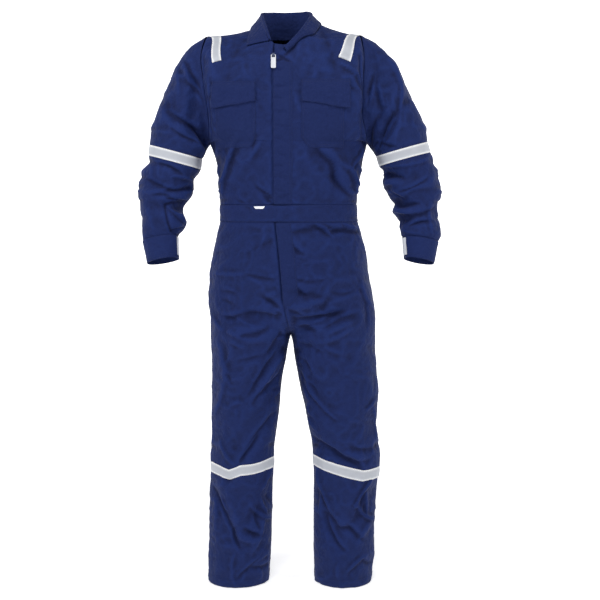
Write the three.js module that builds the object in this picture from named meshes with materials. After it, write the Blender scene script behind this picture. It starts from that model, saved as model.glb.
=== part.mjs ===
import * as THREE from 'three';

// A boiler suit of heavy navy cotton, filled out as if worn, with nobody in it. Millimetres, +Z up.
// The chest faces -Y and +X is the wearer's left. Heights in the tables are above the trouser hems.
// The last lines lower the suit, so that its origin is the point where the shoulders carry it.

// Driving sizes
const HOLD_HEIGHT = 1540; // from the hems up to the point where the shoulders carry the suit
const WALL = 1.6; // cloth of the panels
const SEAM = 0.3; // gap between two sewn pieces
const LIFT = 0.95; // clearance of a patch over the panel that it is sewn to
const PATCH = 1.1; // thickness of a patch, a flap or a tape
const BAND_BOTTOM = 1045;
const BAND_TOP = 1092;
const ARMPIT = 1265;
const CROTCH = 722;
const FORK = 800; // height where both trouser legs have become one body
const SIDE_Y = 8; // depth of the side seams
const ZIP_X = -40; // the front closes left of the middle, under the placket
const QUARTER = 10; // columns of faces in a quarter of the body
const RING = 2 * QUARTER; // columns of faces round a sleeve or a leg
const RISE = 10; // rows of faces from the armpits to the shoulders

const NAVY = 0x27346b;
const SILVER = 0xd4d6db;
const WHITE = 0xf2f2f4;

// Body sections: the edges at the wearer's right and left, the front and the back,
// the middle that the curves turn about, the front seam and the back seam.
const TRUNK = [
  { z: 705, right: -227, left: 243, front: -122, back: 138, middle: 4, split: 2, spine: 2 },
  { z: 771, right: -229, left: 243, front: -127, back: 148, middle: 3, split: -8, spine: 2 },
  { z: 820, right: -232, left: 237, front: -131, back: 151, middle: 2, split: -15, spine: 1 },
  { z: 863, right: -232, left: 230, front: -133, back: 150, middle: 1, split: -18, spine: 0 },
  { z: 909, right: -228, left: 222, front: -133, back: 145, middle: -1, split: -22, spine: 0 },
  { z: 954, right: -219, left: 216, front: -130, back: 137, middle: -2, split: -26, spine: -1 },
  { z: 1000, right: -208, left: 203, front: -125, back: 127, middle: -3, split: -31, spine: -1 },
  { z: 1045, right: -199, left: 192, front: -119, back: 116, middle: -4, split: -36, spine: -2 },
  { z: 1092, right: -198, left: 189, front: -118, back: 113, middle: -5, split: -40, spine: -2 },
  { z: 1135, right: -198, left: 190, front: -125, back: 117, middle: -5, split: -40, spine: -2 },
  { z: 1180, right: -202, left: 199, front: -130, back: 121, middle: -5, split: -40, spine: -2 },
  { z: 1225, right: -209, left: 207, front: -132, back: 124, middle: -6, split: -40, spine: -3 },
  { z: 1265, right: -226, left: 217, front: -132, back: 127, middle: -7, split: -40, spine: -3 },
];

// Leg sections, from the hems up
const LEGS = [
  { z: 0, rightOut: -240, rightIn: -63, leftIn: 72, leftOut: 238, front: -82, back: 94 },
  { z: 86, rightOut: -239, rightIn: -57, leftIn: 69, leftOut: 245, front: -83, back: 93 },
  { z: 182, rightOut: -236, rightIn: -54, leftIn: 69, leftOut: 244, front: -84, back: 92 },
  { z: 278, rightOut: -234, rightIn: -51, leftIn: 69, leftOut: 252, front: -86, back: 91 },
  { z: 330, rightOut: -231, rightIn: -48, leftIn: 66, leftOut: 258, front: -88, back: 91 },
  { z: 373, rightOut: -230, rightIn: -47, leftIn: 63, leftOut: 260, front: -90, back: 92 },
  { z: 421, rightOut: -227, rightIn: -41, leftIn: 54, leftOut: 254, front: -93, back: 94 },
  { z: 468, rightOut: -227, rightIn: -35, leftIn: 48, leftOut: 247, front: -96, back: 97 },
  { z: 515, rightOut: -226, rightIn: -30, leftIn: 41, leftOut: 252, front: -99, back: 101 },
  { z: 562, rightOut: -226, rightIn: -27, leftIn: 31, leftOut: 253, front: -102, back: 107 },
  { z: 609, rightOut: -225, rightIn: -21, leftIn: 22, leftOut: 248, front: -106, back: 114 },
  { z: 655, rightOut: -225, rightIn: -12, leftIn: 14, leftOut: 246, front: -110, back: 122 },
  { z: 705, rightOut: -227, rightIn: -3, leftIn: 7, leftOut: 243, front: -115, back: 132 },
  { z: 722, rightOut: -227, rightIn: 2, leftIn: 2, leftOut: 243, front: -118, back: 136 },
];

// The knee tapes climb towards the inseam, and the rows of the legs climb with them
const KNEE = { z: 333, reach: 230, right: 19, left: 40 };

// Sleeve rings, from the armhole to the cuff seam: the outer point and the inner point of each
const SLEEVES = {
  right: [
    { outX: -230, outZ: 1556, inX: -226, inZ: 1265 },
    { outX: -257, outZ: 1541, inX: -229, inZ: 1259 },
    { outX: -281, outZ: 1520, inX: -232, inZ: 1254 },
    { outX: -303, outZ: 1491, inX: -235, inZ: 1249 },
    { outX: -323, outZ: 1458, inX: -237, inZ: 1244 },
    { outX: -347, outZ: 1408, inX: -240, inZ: 1238 },
    { outX: -366, outZ: 1366, inX: -242, inZ: 1232 },
    { outX: -380, outZ: 1325, inX: -244, inZ: 1227 },
    { outX: -389, outZ: 1290, inX: -246, inZ: 1223 },
    { outX: -394, outZ: 1258, inX: -248, inZ: 1219 },
    { outX: -396, outZ: 1228, inX: -252, inZ: 1190 },
    { outX: -397, outZ: 1208, inX: -260, inZ: 1180 },
    { outX: -413, outZ: 1184, inX: -271, inZ: 1163 },
    { outX: -422, outZ: 1158, inX: -273, inZ: 1142 },
    { outX: -425, outZ: 1134, inX: -277, inZ: 1120 },
    { outX: -424, outZ: 1110, inX: -289, inZ: 1100 },
    { outX: -421, outZ: 1088, inX: -300, inZ: 1080 },
    { outX: -418, outZ: 1064, inX: -297, inZ: 1061 },
    { outX: -416, outZ: 1042, inX: -289, inZ: 1044 },
    { outX: -414, outZ: 1020, inX: -296, inZ: 1027 },
    { outX: -412, outZ: 1004, inX: -309, inZ: 1015 },
    { outX: -411, outZ: 991, inX: -312, inZ: 1007 },
  ],
  left: [
    { outX: 197, outZ: 1559, inX: 217, inZ: 1265 },
    { outX: 224, outZ: 1547, inX: 220, inZ: 1260 },
    { outX: 249, outZ: 1528, inX: 222, inZ: 1257 },
    { outX: 273, outZ: 1503, inX: 225, inZ: 1253 },
    { outX: 294, outZ: 1472, inX: 228, inZ: 1249 },
    { outX: 320, outZ: 1427, inX: 231, inZ: 1245 },
    { outX: 342, outZ: 1386, inX: 234, inZ: 1241 },
    { outX: 361, outZ: 1344, inX: 237, inZ: 1236 },
    { outX: 377, outZ: 1304, inX: 240, inZ: 1231 },
    { outX: 386, outZ: 1266, inX: 243, inZ: 1226 },
    { outX: 394, outZ: 1237, inX: 252, inZ: 1199 },
    { outX: 401, outZ: 1217, inX: 263, inZ: 1188 },
    { outX: 408, outZ: 1195, inX: 265, inZ: 1172 },
    { outX: 416, outZ: 1170, inX: 262, inZ: 1155 },
    { outX: 420, outZ: 1143, inX: 271, inZ: 1134 },
    { outX: 421, outZ: 1116, inX: 281, inZ: 1112 },
    { outX: 414, outZ: 1092, inX: 295, inZ: 1092 },
    { outX: 412, outZ: 1070, inX: 288, inZ: 1071 },
    { outX: 416, outZ: 1046, inX: 306, inZ: 1050 },
    { outX: 419, outZ: 1022, inX: 306, inZ: 1030 },
    { outX: 420, outZ: 1004, inX: 309, inZ: 1015 },
    { outX: 414, outZ: 988, inX: 313, inZ: 1003 },
  ],
};
const TAPE_RINGS = [9, 10]; // the sleeve rings that the tape lies between
const CUFFS = {
  right: { outX: -397, outZ: 928, inX: -309, inZ: 944 },
  left: { outX: 401, outZ: 928, inX: 318, inZ: 944 },
};

// How deep the sleeve is at some of its rings, and how much lower its back lies than its front,
// because the forearm hangs forward. The last row is the open end of the cuff.
const SLEEVE_DEPTH = [
  { z: 0, front: -75, back: 93, drop: 0 },
  { z: 4, front: -77, back: 88, drop: 0 },
  { z: 9, front: -80, back: 80, drop: 2 },
  { z: 13, front: -84, back: 66, drop: 12 },
  { z: 17, front: -88, back: 40, drop: 18 },
  { z: 20, front: -88, back: 6, drop: 18 },
  { z: 21, front: -88, back: 0, drop: 18 },
  { z: 24, front: -98, back: -14, drop: 20 },
];

const ARMHOLES = {
  right: { front: -75, back: 93, inward: 8 },
  left: { front: -75, back: 93, inward: -8 },
};

// How far the front armhole seams swing to the side between the armpit (0) and the shoulder (1)
const ARMHOLE_SWING = [
  { z: 0, right: 0, left: 0 },
  { z: 0.17, right: 3, left: -6 },
  { z: 0.33, right: 5, left: -15 },
  { z: 0.5, right: -4, left: -8 },
  { z: 0.68, right: -14, left: 2 },
  { z: 0.85, right: -6, left: 1 },
  { z: 1, right: 0, left: 0 },
];

// The upper edges: the neckline from the front or back seam to the neck point at z 0.5
const NECK = {
  right: {
    front: [
      { z: 0, x: -40, y: -107, up: 1523 },
      { z: 0.12, x: -49, y: -100, up: 1531 },
      { z: 0.3, x: -72, y: -62, up: 1556 },
      { z: 0.5, x: -88, y: 14, up: 1582 },
    ],
    back: [
      { z: 0, x: -8, y: 79, up: 1591 },
      { z: 0.25, x: -50, y: 68, up: 1590 },
      { z: 0.5, x: -88, y: 14, up: 1582 },
    ],
  },
  left: {
    front: [
      { z: 0, x: -40, y: -107, up: 1523 },
      { z: 0.2, x: -6, y: -103, up: 1523 },
      { z: 0.32, x: 22, y: -88, up: 1541 },
      { z: 0.42, x: 52, y: -48, up: 1568 },
      { z: 0.5, x: 74, y: 14, up: 1595 },
    ],
    back: [
      { z: 0, x: -8, y: 79, up: 1591 },
      { z: 0.25, x: 34, y: 68, up: 1595 },
      { z: 0.5, x: 74, y: 14, up: 1595 },
    ],
  },
};

// The front seam and the back seam from the armpit level (0) to the neck (1)
const CENTRES = {
  front: [
    { z: 0, x: -40, y: -132, up: 1265 },
    { z: 0.4, x: -40, y: -131, up: 1370 },
    { z: 0.75, x: -40, y: -122, up: 1460 },
    { z: 1, x: -40, y: -107, up: 1523 },
  ],
  back: [
    { z: 0, x: -3, y: 127, up: 1265 },
    { z: 0.35, x: -4, y: 133, up: 1380 },
    { z: 0.7, x: -6, y: 123, up: 1495 },
    { z: 0.88, x: -8, y: 102, up: 1554 },
    { z: 1, x: -8, y: 79, up: 1591 },
  ],
};

// Stations of the collar from the wearer's right end round the back to the placket: where its
// stand meets the neckline (or, at the left end, the placket's side of the chest), its fold, and
// the outer edge of its leaf
const COLLAR = [
  { side: 'right', face: 'front', at: 0.13, fold: [-51, -102, 1532], leaf: [-112, -76, 1516] },
  { side: 'right', face: 'front', at: 0.23, fold: [-58, -84, 1555], leaf: [-113, -51, 1538] },
  { side: 'right', face: 'front', at: 0.33, fold: [-67, -54, 1581], leaf: [-110, -20, 1561] },
  { side: 'right', face: 'front', at: 0.43, fold: [-74, -16, 1604], leaf: [-108, 9, 1575] },
  { side: 'right', face: 'back', at: 0.47, fold: [-77, 24, 1619], leaf: [-104, 46, 1580] },
  { side: 'right', face: 'back', at: 0.34, fold: [-66, 49, 1625], leaf: [-84, 80, 1579] },
  { side: 'right', face: 'back', at: 0.18, fold: [-42, 64, 1627], leaf: [-50, 98, 1575] },
  { side: 'right', face: 'back', at: 0, fold: [-9, 70, 1628], leaf: [-10, 104, 1574] },
  { side: 'left', face: 'back', at: 0.2, fold: [24, 64, 1628], leaf: [32, 98, 1577] },
  { side: 'left', face: 'back', at: 0.36, fold: [46, 48, 1627], leaf: [64, 78, 1583] },
  { side: 'left', face: 'back', at: 0.48, fold: [58, 20, 1619], leaf: [86, 44, 1592] },
  { side: 'left', face: 'front', at: 0.465, fold: [54, -14, 1603], leaf: [84, 4, 1587] },
  { side: 'left', face: 'front', at: 0.425, fold: [43, -46, 1584], leaf: [73, -34, 1562] },
  { side: 'left', face: 'front', at: 0.375, fold: [32, -74, 1565], leaf: [52, -72, 1548] },
  { side: 'left', face: 'front', at: 0.315, fold: [19, -98, 1545], leaf: [29, -94, 1535] },
  { stand: [2, -106, 1524], fold: [2, -110, 1526], leaf: [9, -109, 1516] },
  { stand: [-16, -112, 1508], fold: [-15, -117, 1509], leaf: [-9, -116, 1501] },
];

// The largest folds, as seen from the front or the back: a line from one end to the other,
// the half width of the fold, and how far it stands out (or sinks in, below zero)
const FOLDS = [
  { face: 'front', x0: -122, z0: 1222, x1: -168, z1: 1160, width: 24, out: 6 },
  { face: 'front', x0: 70, z0: 1224, x1: 122, z1: 1150, width: 21, out: -7 },
  { face: 'front', x0: 112, z0: 1222, x1: 172, z1: 1158, width: 21, out: 8 },
  { face: 'front', x0: 144, z0: 1206, x1: 190, z1: 1140, width: 18, out: -7 },
  { face: 'front', x0: 60, z0: 1022, x1: 165, z1: 1008, width: 21, out: -5 },
  { face: 'front', x0: 20, z0: 770, x1: 130, z1: 792, width: 21, out: -8 },
  { face: 'front', x0: 28, z0: 745, x1: 150, z1: 765, width: 21, out: 8 },
  { face: 'front', x0: -18, z0: 778, x1: -110, z1: 786, width: 21, out: -6 },
  { face: 'front', x0: -24, z0: 750, x1: -130, z1: 742, width: 24, out: 6 },
  { face: 'front', x0: -40, z0: 690, x1: -130, z1: 560, width: 24, out: -6 },
  { face: 'front', x0: -45, z0: 560, x1: -150, z1: 420, width: 24, out: -6 },
  { face: 'front', x0: 52, z0: 600, x1: 120, z1: 500, width: 21, out: -6 },
  { face: 'front', x0: 70, z0: 420, x1: 190, z1: 360, width: 21, out: -6 },
  { face: 'front', x0: -225, z0: 270, x1: -165, z1: 150, width: 21, out: -7 },
  { face: 'front', x0: -60, z0: 260, x1: -125, z1: 195, width: 21, out: -7 },
  { face: 'front', x0: -110, z0: 180, x1: -160, z1: 195, width: 21, out: 5 },
  { face: 'front', x0: 78, z0: 270, x1: 135, z1: 165, width: 21, out: -7 },
  { face: 'front', x0: 240, z0: 270, x1: 178, z1: 190, width: 21, out: -8 },
  { face: 'front', x0: 150, z0: 190, x1: 190, z1: 175, width: 21, out: 5 },
  { face: 'front', x0: -236, z0: 1478, x1: -268, z1: 1330, width: 21, out: -7 },
  { face: 'front', x0: -262, z0: 1455, x1: -292, z1: 1300, width: 21, out: 6 },
  { face: 'front', x0: -330, z0: 1360, x1: -262, z1: 1290, width: 21, out: -6 },
  { face: 'front', x0: -345, z0: 1320, x1: -262, z1: 1262, width: 21, out: 6 },
  { face: 'front', x0: 225, z0: 1500, x1: 250, z1: 1330, width: 21, out: -6 },
  { face: 'front', x0: 305, z0: 1365, x1: 262, z1: 1275, width: 18, out: -8 },
  { face: 'front', x0: 282, z0: 1480, x1: 308, z1: 1360, width: 21, out: 6 },
  { face: 'front', x0: -402, z0: 1165, x1: -290, z1: 1138, width: 18, out: -5 },
  { face: 'front', x0: -408, z0: 1120, x1: -300, z1: 1106, width: 18, out: 5 },
  { face: 'front', x0: -372, z0: 1088, x1: -300, z1: 1086, width: 18, out: -7 },
  { face: 'front', x0: -362, z0: 1074, x1: -300, z1: 1042, width: 18, out: 6 },
  { face: 'front', x0: 278, z0: 1170, x1: 345, z1: 1166, width: 18, out: -6 },
  { face: 'front', x0: 295, z0: 1128, x1: 385, z1: 1158, width: 18, out: 6 },
  { face: 'front', x0: 300, z0: 1092, x1: 365, z1: 1104, width: 18, out: -6 },
  { face: 'front', x0: 322, z0: 1052, x1: 398, z1: 1066, width: 18, out: -6 },
  { face: 'back', x0: -150, z0: 1250, x1: -60, z1: 1130, width: 24, out: -7 },
  { face: 'back', x0: 150, z0: 1255, x1: 70, z1: 1125, width: 24, out: -8 },
  { face: 'back', x0: -165, z0: 1340, x1: -90, z1: 1380, width: 24, out: -6 },
  { face: 'back', x0: 155, z0: 1340, x1: 80, z1: 1385, width: 24, out: -6 },
  { face: 'back', x0: -120, z0: 1125, x1: 100, z1: 1118, width: 21, out: 6 },
  { face: 'back', x0: -170, z0: 800, x1: -40, z1: 760, width: 24, out: -8 },
  { face: 'back', x0: 170, z0: 805, x1: 45, z1: 765, width: 24, out: -8 },
  { face: 'back', x0: -60, z0: 700, x1: -150, z1: 600, width: 24, out: -6 },
  { face: 'back', x0: 60, z0: 700, x1: 160, z1: 590, width: 24, out: -6 },
  { face: 'back', x0: -70, z0: 400, x1: -215, z1: 372, width: 21, out: -7 },
  { face: 'back', x0: 80, z0: 410, x1: 235, z1: 378, width: 21, out: -7 },
  { face: 'back', x0: -75, z0: 275, x1: -190, z1: 235, width: 21, out: 6 },
  { face: 'back', x0: 90, z0: 270, x1: 215, z1: 240, width: 21, out: 6 },
  { face: 'back', x0: -255, z0: 1440, x1: -300, z1: 1290, width: 21, out: -6 },
  { face: 'back', x0: 245, z0: 1440, x1: 290, z1: 1290, width: 21, out: -6 },
  { face: 'back', x0: -400, z0: 1150, x1: -295, z1: 1125, width: 18, out: 6 },
  { face: 'back', x0: 290, z0: 1140, x1: 400, z1: 1125, width: 18, out: 6 },
];

const lerp = THREE.MathUtils.lerp;
const smooth = (value) => THREE.MathUtils.smoothstep(value, 0, 1);
const point = (x, y, z) => new THREE.Vector3(x, y, z);

// One column of a table, read at a height (or place) z by a smooth curve through its rows
function read(table, column, z) {
  let row = 0;
  while (row < table.length - 2 && z > table[row + 1].z) row += 1;
  const low = table[row];
  const high = table[row + 1];
  const before = table[Math.max(row - 1, 0)];
  const after = table[Math.min(row + 2, table.length - 1)];
  const span = high.z - low.z;
  const at = (z - low.z) / span;
  const slopeLow = ((high[column] - before[column]) / (high.z - before.z)) * span;
  const slopeHigh = ((after[column] - low[column]) / (after.z - low.z)) * span;
  const a = at * at;
  const b = a * at;
  return (
    (2 * b - 3 * a + 1) * low[column] +
    (b - 2 * a + at) * slopeLow +
    (3 * a - 2 * b) * high[column] +
    (b - a) * slopeHigh
  );
}

// A point of the body on the wearer's right or left half: s is 0 at the front seam,
// 0.5 at the side seam and 1 at the back seam
function trunk(side, s, z) {
  const middle = read(TRUNK, 'middle', z);
  const half = read(TRUNK, side, z) - middle;
  const start = Math.asin((read(TRUNK, 'split', z) - middle) / half);
  const end = Math.PI - Math.asin((read(TRUNK, 'spine', z) - middle) / half);
  const angle = s < 0.5 ? lerp(start, Math.PI / 2, 2 * s) : lerp(Math.PI / 2, end, 2 * s - 1);
  const depth = read(TRUNK, angle < Math.PI / 2 ? 'front' : 'back', z) - SIDE_Y;
  return point(middle + half * Math.sin(angle), SIDE_Y + depth * Math.abs(Math.cos(angle)) ** 0.8, z);
}

// A point of a leg: s is 0 and 1 at the inseam, 0.5 at the side seam and 0.25 in front
function leg(side, s, z) {
  const outer = read(LEGS, `${side}Out`, z);
  const inner = read(LEGS, `${side}In`, z);
  const turn = 2 * Math.PI * s;
  const depth = read(LEGS, Math.sin(turn) > 0 ? 'front' : 'back', z) - SIDE_Y;
  const across = (1 - Math.cos(turn)) / 2;
  const near = THREE.MathUtils.clamp((z - KNEE.z) / KNEE.reach, -1, 1);
  const climb = KNEE[side] * (1 - near * near) ** 2 * (1 - across);
  return point(lerp(inner, outer, across), SIDE_Y + depth * Math.abs(Math.sin(turn)) ** 0.85, z + climb);
}

// The trousers: two legs that open into one body between the crotch and the fork's height
function trousers(side, s, z) {
  if (z <= CROTCH) return leg(side, s, z);
  const body = trunk(side, s, z);
  if (z >= FORK) return body;
  const climb = (z - CROTCH) / (FORK - CROTCH);
  const open = lerp(1 - (1 - climb) ** 2.2, smooth(climb), smooth(Math.min(s, 1 - s) * 5));
  const joined = leg(side, s, CROTCH).lerp(body, open);
  joined.z = z;
  return joined;
}

// The armhole seam on one face of the body: t is 0 at the armpit and 1 at the shoulder
function armhole(side, face, t) {
  const ring = SLEEVES[side][0];
  const turn = Math.PI * (1 - t);
  const up = (1 + Math.cos(turn)) / 2;
  const depth = ARMHOLES[side][face] - SIDE_Y;
  const swing =
    face === 'front' ? read(ARMHOLE_SWING, side, t) : ARMHOLES[side].inward * Math.sin(Math.PI * t);
  return point(
    lerp(ring.inX, ring.outX, up) + swing,
    SIDE_Y + depth * Math.sin(turn) ** 0.9,
    lerp(ring.inZ, ring.outZ, up),
  );
}

const spot = (table, at) => point(read(table, 'x', at), read(table, 'y', at), read(table, 'up', at));

// The upper edge of a front or back: the neckline to s 0.5, then the shoulder seam
function upperEdge(side, face, s) {
  if (s <= 0.5) return spot(NECK[side][face], s);
  const neck = spot(NECK[side][face], 0.5);
  const shoulder = armhole(side, face, 1);
  const along = 2 * s - 1;
  const edge = neck.lerp(shoulder, along);
  edge.z -= 5 * Math.sin(Math.PI * along);
  return edge;
}

// The top of the suit: s is 0 at the front or back seam and 1 at the side seam or armhole,
// v is 0 at the waistband, 1 at the armpits and 2 at the neckline and the shoulder seam
function bodice(side, face, s, v) {
  const along = face === 'front' ? s / 2 : 1 - s / 2;
  if (v <= 1) return trunk(side, along, lerp(BAND_TOP, ARMPIT, v));
  const t = Math.min(v - 1, 1);
  const up = t ** 3;
  const out = smooth(s);
  const corner = [trunk(side, face === 'front' ? 0 : 1, ARMPIT), armhole(side, face, 0)];
  const top = [upperEdge(side, face, 0), upperEdge(side, face, 1)];
  return trunk(side, along, ARMPIT)
    .multiplyScalar(1 - up)
    .addScaledVector(upperEdge(side, face, s), up)
    .addScaledVector(spot(CENTRES[face], t), 1 - out)
    .addScaledVector(armhole(side, face, t), out)
    .addScaledVector(corner[0].multiplyScalar(1 - out).addScaledVector(corner[1], out), up - 1)
    .addScaledVector(top[0].multiplyScalar(1 - out).addScaledVector(top[1], out), -up);
}

// A point of a sleeve: turn runs once round from the outer point over the front,
// ring counts down the arm, and the rings after the cuff seam belong to the cuff
const CUFF_SEAM = SLEEVES.right.length - 1;
const CUFF_END = CUFF_SEAM + 3;
function sleeve(side, turn, ring) {
  const face = turn <= 0.5 ? 'front' : 'back';
  const t = face === 'front' ? 1 - 2 * turn : 2 * turn - 1;
  if (ring === 0) return armhole(side, face, t);
  const rows = SLEEVES[side];
  const low = ring < CUFF_SEAM ? rows[Math.floor(ring)] : rows[CUFF_SEAM];
  const high = ring < CUFF_SEAM ? rows[Math.floor(ring) + 1] : CUFFS[side];
  const at = ring < CUFF_SEAM ? ring - Math.floor(ring) : (ring - CUFF_SEAM) / (CUFF_END - CUFF_SEAM);
  const up = (1 + Math.cos(2 * Math.PI * turn)) / 2;
  const middle = (read(SLEEVE_DEPTH, 'front', ring) + read(SLEEVE_DEPTH, 'back', ring)) / 2;
  const depth = read(SLEEVE_DEPTH, face, ring) - middle;
  const deep = Math.abs(Math.sin(2 * Math.PI * turn)) ** 0.9;
  const drop = (read(SLEEVE_DEPTH, 'drop', ring) / 2) * (face === 'front' ? deep : -deep);
  const fade = Math.max(0, 1 - ring / 4);
  const swing = (armhole(side, face, t).x - lerp(rows[0].inX, rows[0].outX, up)) * fade;
  return point(
    lerp(lerp(low.inX, low.outX, up), lerp(high.inX, high.outX, up), at) + swing,
    lerp(SIDE_Y, middle, Math.min(ring / 4, 1)) + depth * deep,
    lerp(lerp(low.inZ, low.outZ, up), lerp(high.inZ, high.outZ, up), at) + drop,
  );
}

// How far the folds move a point of the cloth that faces along normal
function foldAt(place, normal) {
  const facing = { front: smooth(-normal.y * 2.2), back: smooth(normal.y * 2.2) };
  let out = 0;
  for (const fold of FOLDS) {
    if (facing[fold.face] === 0) continue;
    const length = Math.hypot(fold.x1 - fold.x0, fold.z1 - fold.z0);
    const alongX = (fold.x1 - fold.x0) / length;
    const alongZ = (fold.z1 - fold.z0) / length;
    const along = (place.x - fold.x0) * alongX + (place.z - fold.z0) * alongZ;
    const aside = (place.z - fold.z0) * alongX - (place.x - fold.x0) * alongZ;
    const past = Math.max(0, -along, along - length) + Math.max(0, Math.abs(along / length - 0.5) - 0.2) * 8;
    const fade = (aside / fold.width) ** 2 + (past / fold.width / 1.4) ** 2;
    out += facing[fold.face] * fold.out * Math.exp(-fade);
  }
  return out;
}

// A surface with its folds: shape gives the bare point, outward is 1 or -1, and hold is 0 where
// a seam holds the cloth flat and 1 where folds are free
function folded(shape, outward, hold) {
  const step = 0.004;
  return (a, b) => {
    const place = shape(a, b);
    const across = shape(a + step, b).sub(shape(a - step, b));
    const along = shape(a, b + step).sub(shape(a, b - step));
    const normal = across.cross(along).multiplyScalar(outward).normalize();
    return place.addScaledVector(normal, foldAt(place, normal) * hold(a, b));
  };
}

const mirror = { right: -1, left: 1 };

// Folded surfaces of the suit. The height is in metres where it is a parameter of its own, so that
// a small step means much the same along both parameters.
const trouserCloth = {};
const bandCloth = {};
const bodiceCloth = { right: {}, left: {} };
const sleeveCloth = {};
for (const side of ['right', 'left']) {
  trouserCloth[side] = folded(
    (s, up) => trousers(side, s, up * 1000),
    mirror[side],
    (s, up) => smooth(Math.min(s, 1 - s) * 24) * smooth((BAND_BOTTOM - up * 1000) / 14),
  );
  bandCloth[side] = (s, up) => trunk(side, s, up * 1000);
  for (const face of ['front', 'back']) {
    bodiceCloth[side][face] = folded(
      (s, v) => bodice(side, face, s, v),
      mirror[side] * (face === 'front' ? 1 : -1),
      (s, v) =>
        smooth(s * 14) *
        smooth(v * 14) *
        smooth((2 - v) * 14) *
        smooth(Math.max((1 - s) * 12, (0.92 - v) * 8)),
    );
  }
  sleeveCloth[side] = folded(
    (turn, ring) => sleeve(side, turn - Math.floor(turn), Math.min(Math.max(ring, 0), CUFF_END)),
    mirror[side],
    (turn, ring) =>
      smooth(ring / 2) * smooth(Math.abs(ring - TAPE_RINGS[0] - 0.5) - 0.5) * smooth(CUFF_SEAM - ring),
  );
}

// A grid of points, one row for each value of the second parameter
const grid = (surface, across, along) => along.map((b) => across.map((a) => surface(a, b)));

// Outward directions of a grid's points
function normalsOf(rows, outward, round) {
  return rows.map((row, j) =>
    row.map((place, i) => {
      const last = row.length - 1;
      const next = row[i < last ? i + 1 : round ? 0 : last];
      const previous = row[i > 0 ? i - 1 : round ? last : 0];
      const above = rows[Math.min(j + 1, rows.length - 1)][i];
      const below = rows[Math.max(j - 1, 0)][i];
      const across = point(0, 0, 0).subVectors(next, previous);
      const along = point(0, 0, 0).subVectors(above, below);
      return across.cross(along).multiplyScalar(outward).normalize();
    }),
  );
}

// A closed body between an outer and an inner grid; round joins the last column to the first
function closedBody(outer, inner, outward, round = false) {
  const rows = outer.length;
  const columns = outer[0].length;
  const positions = [];
  for (const layer of [outer, inner]) {
    for (const row of layer) for (const place of row) positions.push(place.x, place.y, place.z);
  }
  const faces = [];
  const at = (layer, j, i) => layer * rows * columns + j * columns + (i % columns);
  const quad = (a, b, c, d) => {
    if (outward > 0) faces.push(a, b, c, a, c, d);
    else faces.push(a, c, b, a, d, c);
  };
  const steps = round ? columns : columns - 1;
  for (let j = 0; j < rows - 1; j += 1) {
    for (let i = 0; i < steps; i += 1) {
      quad(at(0, j, i), at(0, j, i + 1), at(0, j + 1, i + 1), at(0, j + 1, i));
      quad(at(1, j, i), at(1, j + 1, i), at(1, j + 1, i + 1), at(1, j, i + 1));
    }
    if (round) continue;
    quad(at(0, j, 0), at(0, j + 1, 0), at(1, j + 1, 0), at(1, j, 0));
    quad(at(0, j + 1, steps), at(0, j, steps), at(1, j, steps), at(1, j + 1, steps));
  }
  for (let i = 0; i < steps; i += 1) {
    quad(at(0, 0, i + 1), at(0, 0, i), at(1, 0, i), at(1, 0, i + 1));
    quad(at(0, rows - 1, i), at(0, rows - 1, i + 1), at(1, rows - 1, i + 1), at(1, rows - 1, i));
  }
  const geometry = new THREE.BufferGeometry();
  geometry.setAttribute('position', new THREE.Float32BufferAttribute(positions, 3));
  geometry.setIndex(faces);
  return geometry;
}

// A wall of cloth under a grid of outer points. own gives, for the first and last columns and rows,
// the directions that point away from the seam there: the edge is drawn back along them by half the
// gap, and the inner edge doesn't lean over the seam.
function wall(rows, outward, own = {}, round = false) {
  const normals = normalsOf(rows, outward, round);
  const directions = (j, i) => {
    const found = [];
    if (own.first && i === 0) found.push(...own.first(j));
    if (own.last && i === rows[0].length - 1) found.push(...own.last(j));
    if (own.bottom && j === 0) found.push(...own.bottom);
    if (own.top && j === rows.length - 1) found.push(...own.top);
    return found;
  };
  const outer = [];
  const inner = [];
  rows.forEach((row, j) => {
    outer.push([]);
    inner.push([]);
    row.forEach((place, i) => {
      const inward = normals[j][i].clone().negate();
      const edge = place.clone();
      for (const away of directions(j, i)) {
        edge.addScaledVector(away, SEAM / 2);
        const over = inward.dot(away);
        if (over < 0) inward.addScaledVector(away, -over);
      }
      outer[j].push(edge);
      inner[j].push(edge.clone().addScaledVector(inward.normalize(), WALL));
    });
  });
  return closedBody(outer, inner, outward, round);
}

// A patch over a surface: spots are grids of points and outward directions
function patch(places, normals, outward, lift = LIFT, thick = PATCH, round = false) {
  const raised = (height) =>
    places.map((row, j) => row.map((place, i) => place.clone().addScaledVector(normals[j][i], height)));
  return closedBody(raised(lift + thick), raised(lift), outward, round);
}

// Panels keep their grids, so that what is sewn on them follows their faces. toSide is the sign
// of x as the columns go on.
const panels = {};
function keepPanel(name, places, across, along, outward, toSide) {
  panels[name] = { places, across, along, toSide, normals: normalsOf(places, outward, false) };
}

// A point on the faces of a panel, and the outward direction there
function onPanel(panel, a, b) {
  const before = (list, value) => {
    const next = list.findIndex((item) => item > value);
    return next < 0 ? list.length - 2 : Math.max(next - 1, 0);
  };
  const i = before(panel.across, a);
  const j = before(panel.along, b);
  const u = (a - panel.across[i]) / (panel.across[i + 1] - panel.across[i]);
  const w = (b - panel.along[j]) / (panel.along[j + 1] - panel.along[j]);
  const mix = (rows) => {
    const corner = u > w ? rows[j][i + 1] : rows[j + 1][i];
    const [near, far] = [Math.min(u, w), Math.max(u, w)];
    return rows[j][i]
      .clone()
      .multiplyScalar(1 - far)
      .addScaledVector(corner, far - near)
      .addScaledVector(rows[j + 1][i + 1], near);
  };
  return { place: mix(panel.places), normal: mix(panel.normals).normalize() };
}

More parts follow.
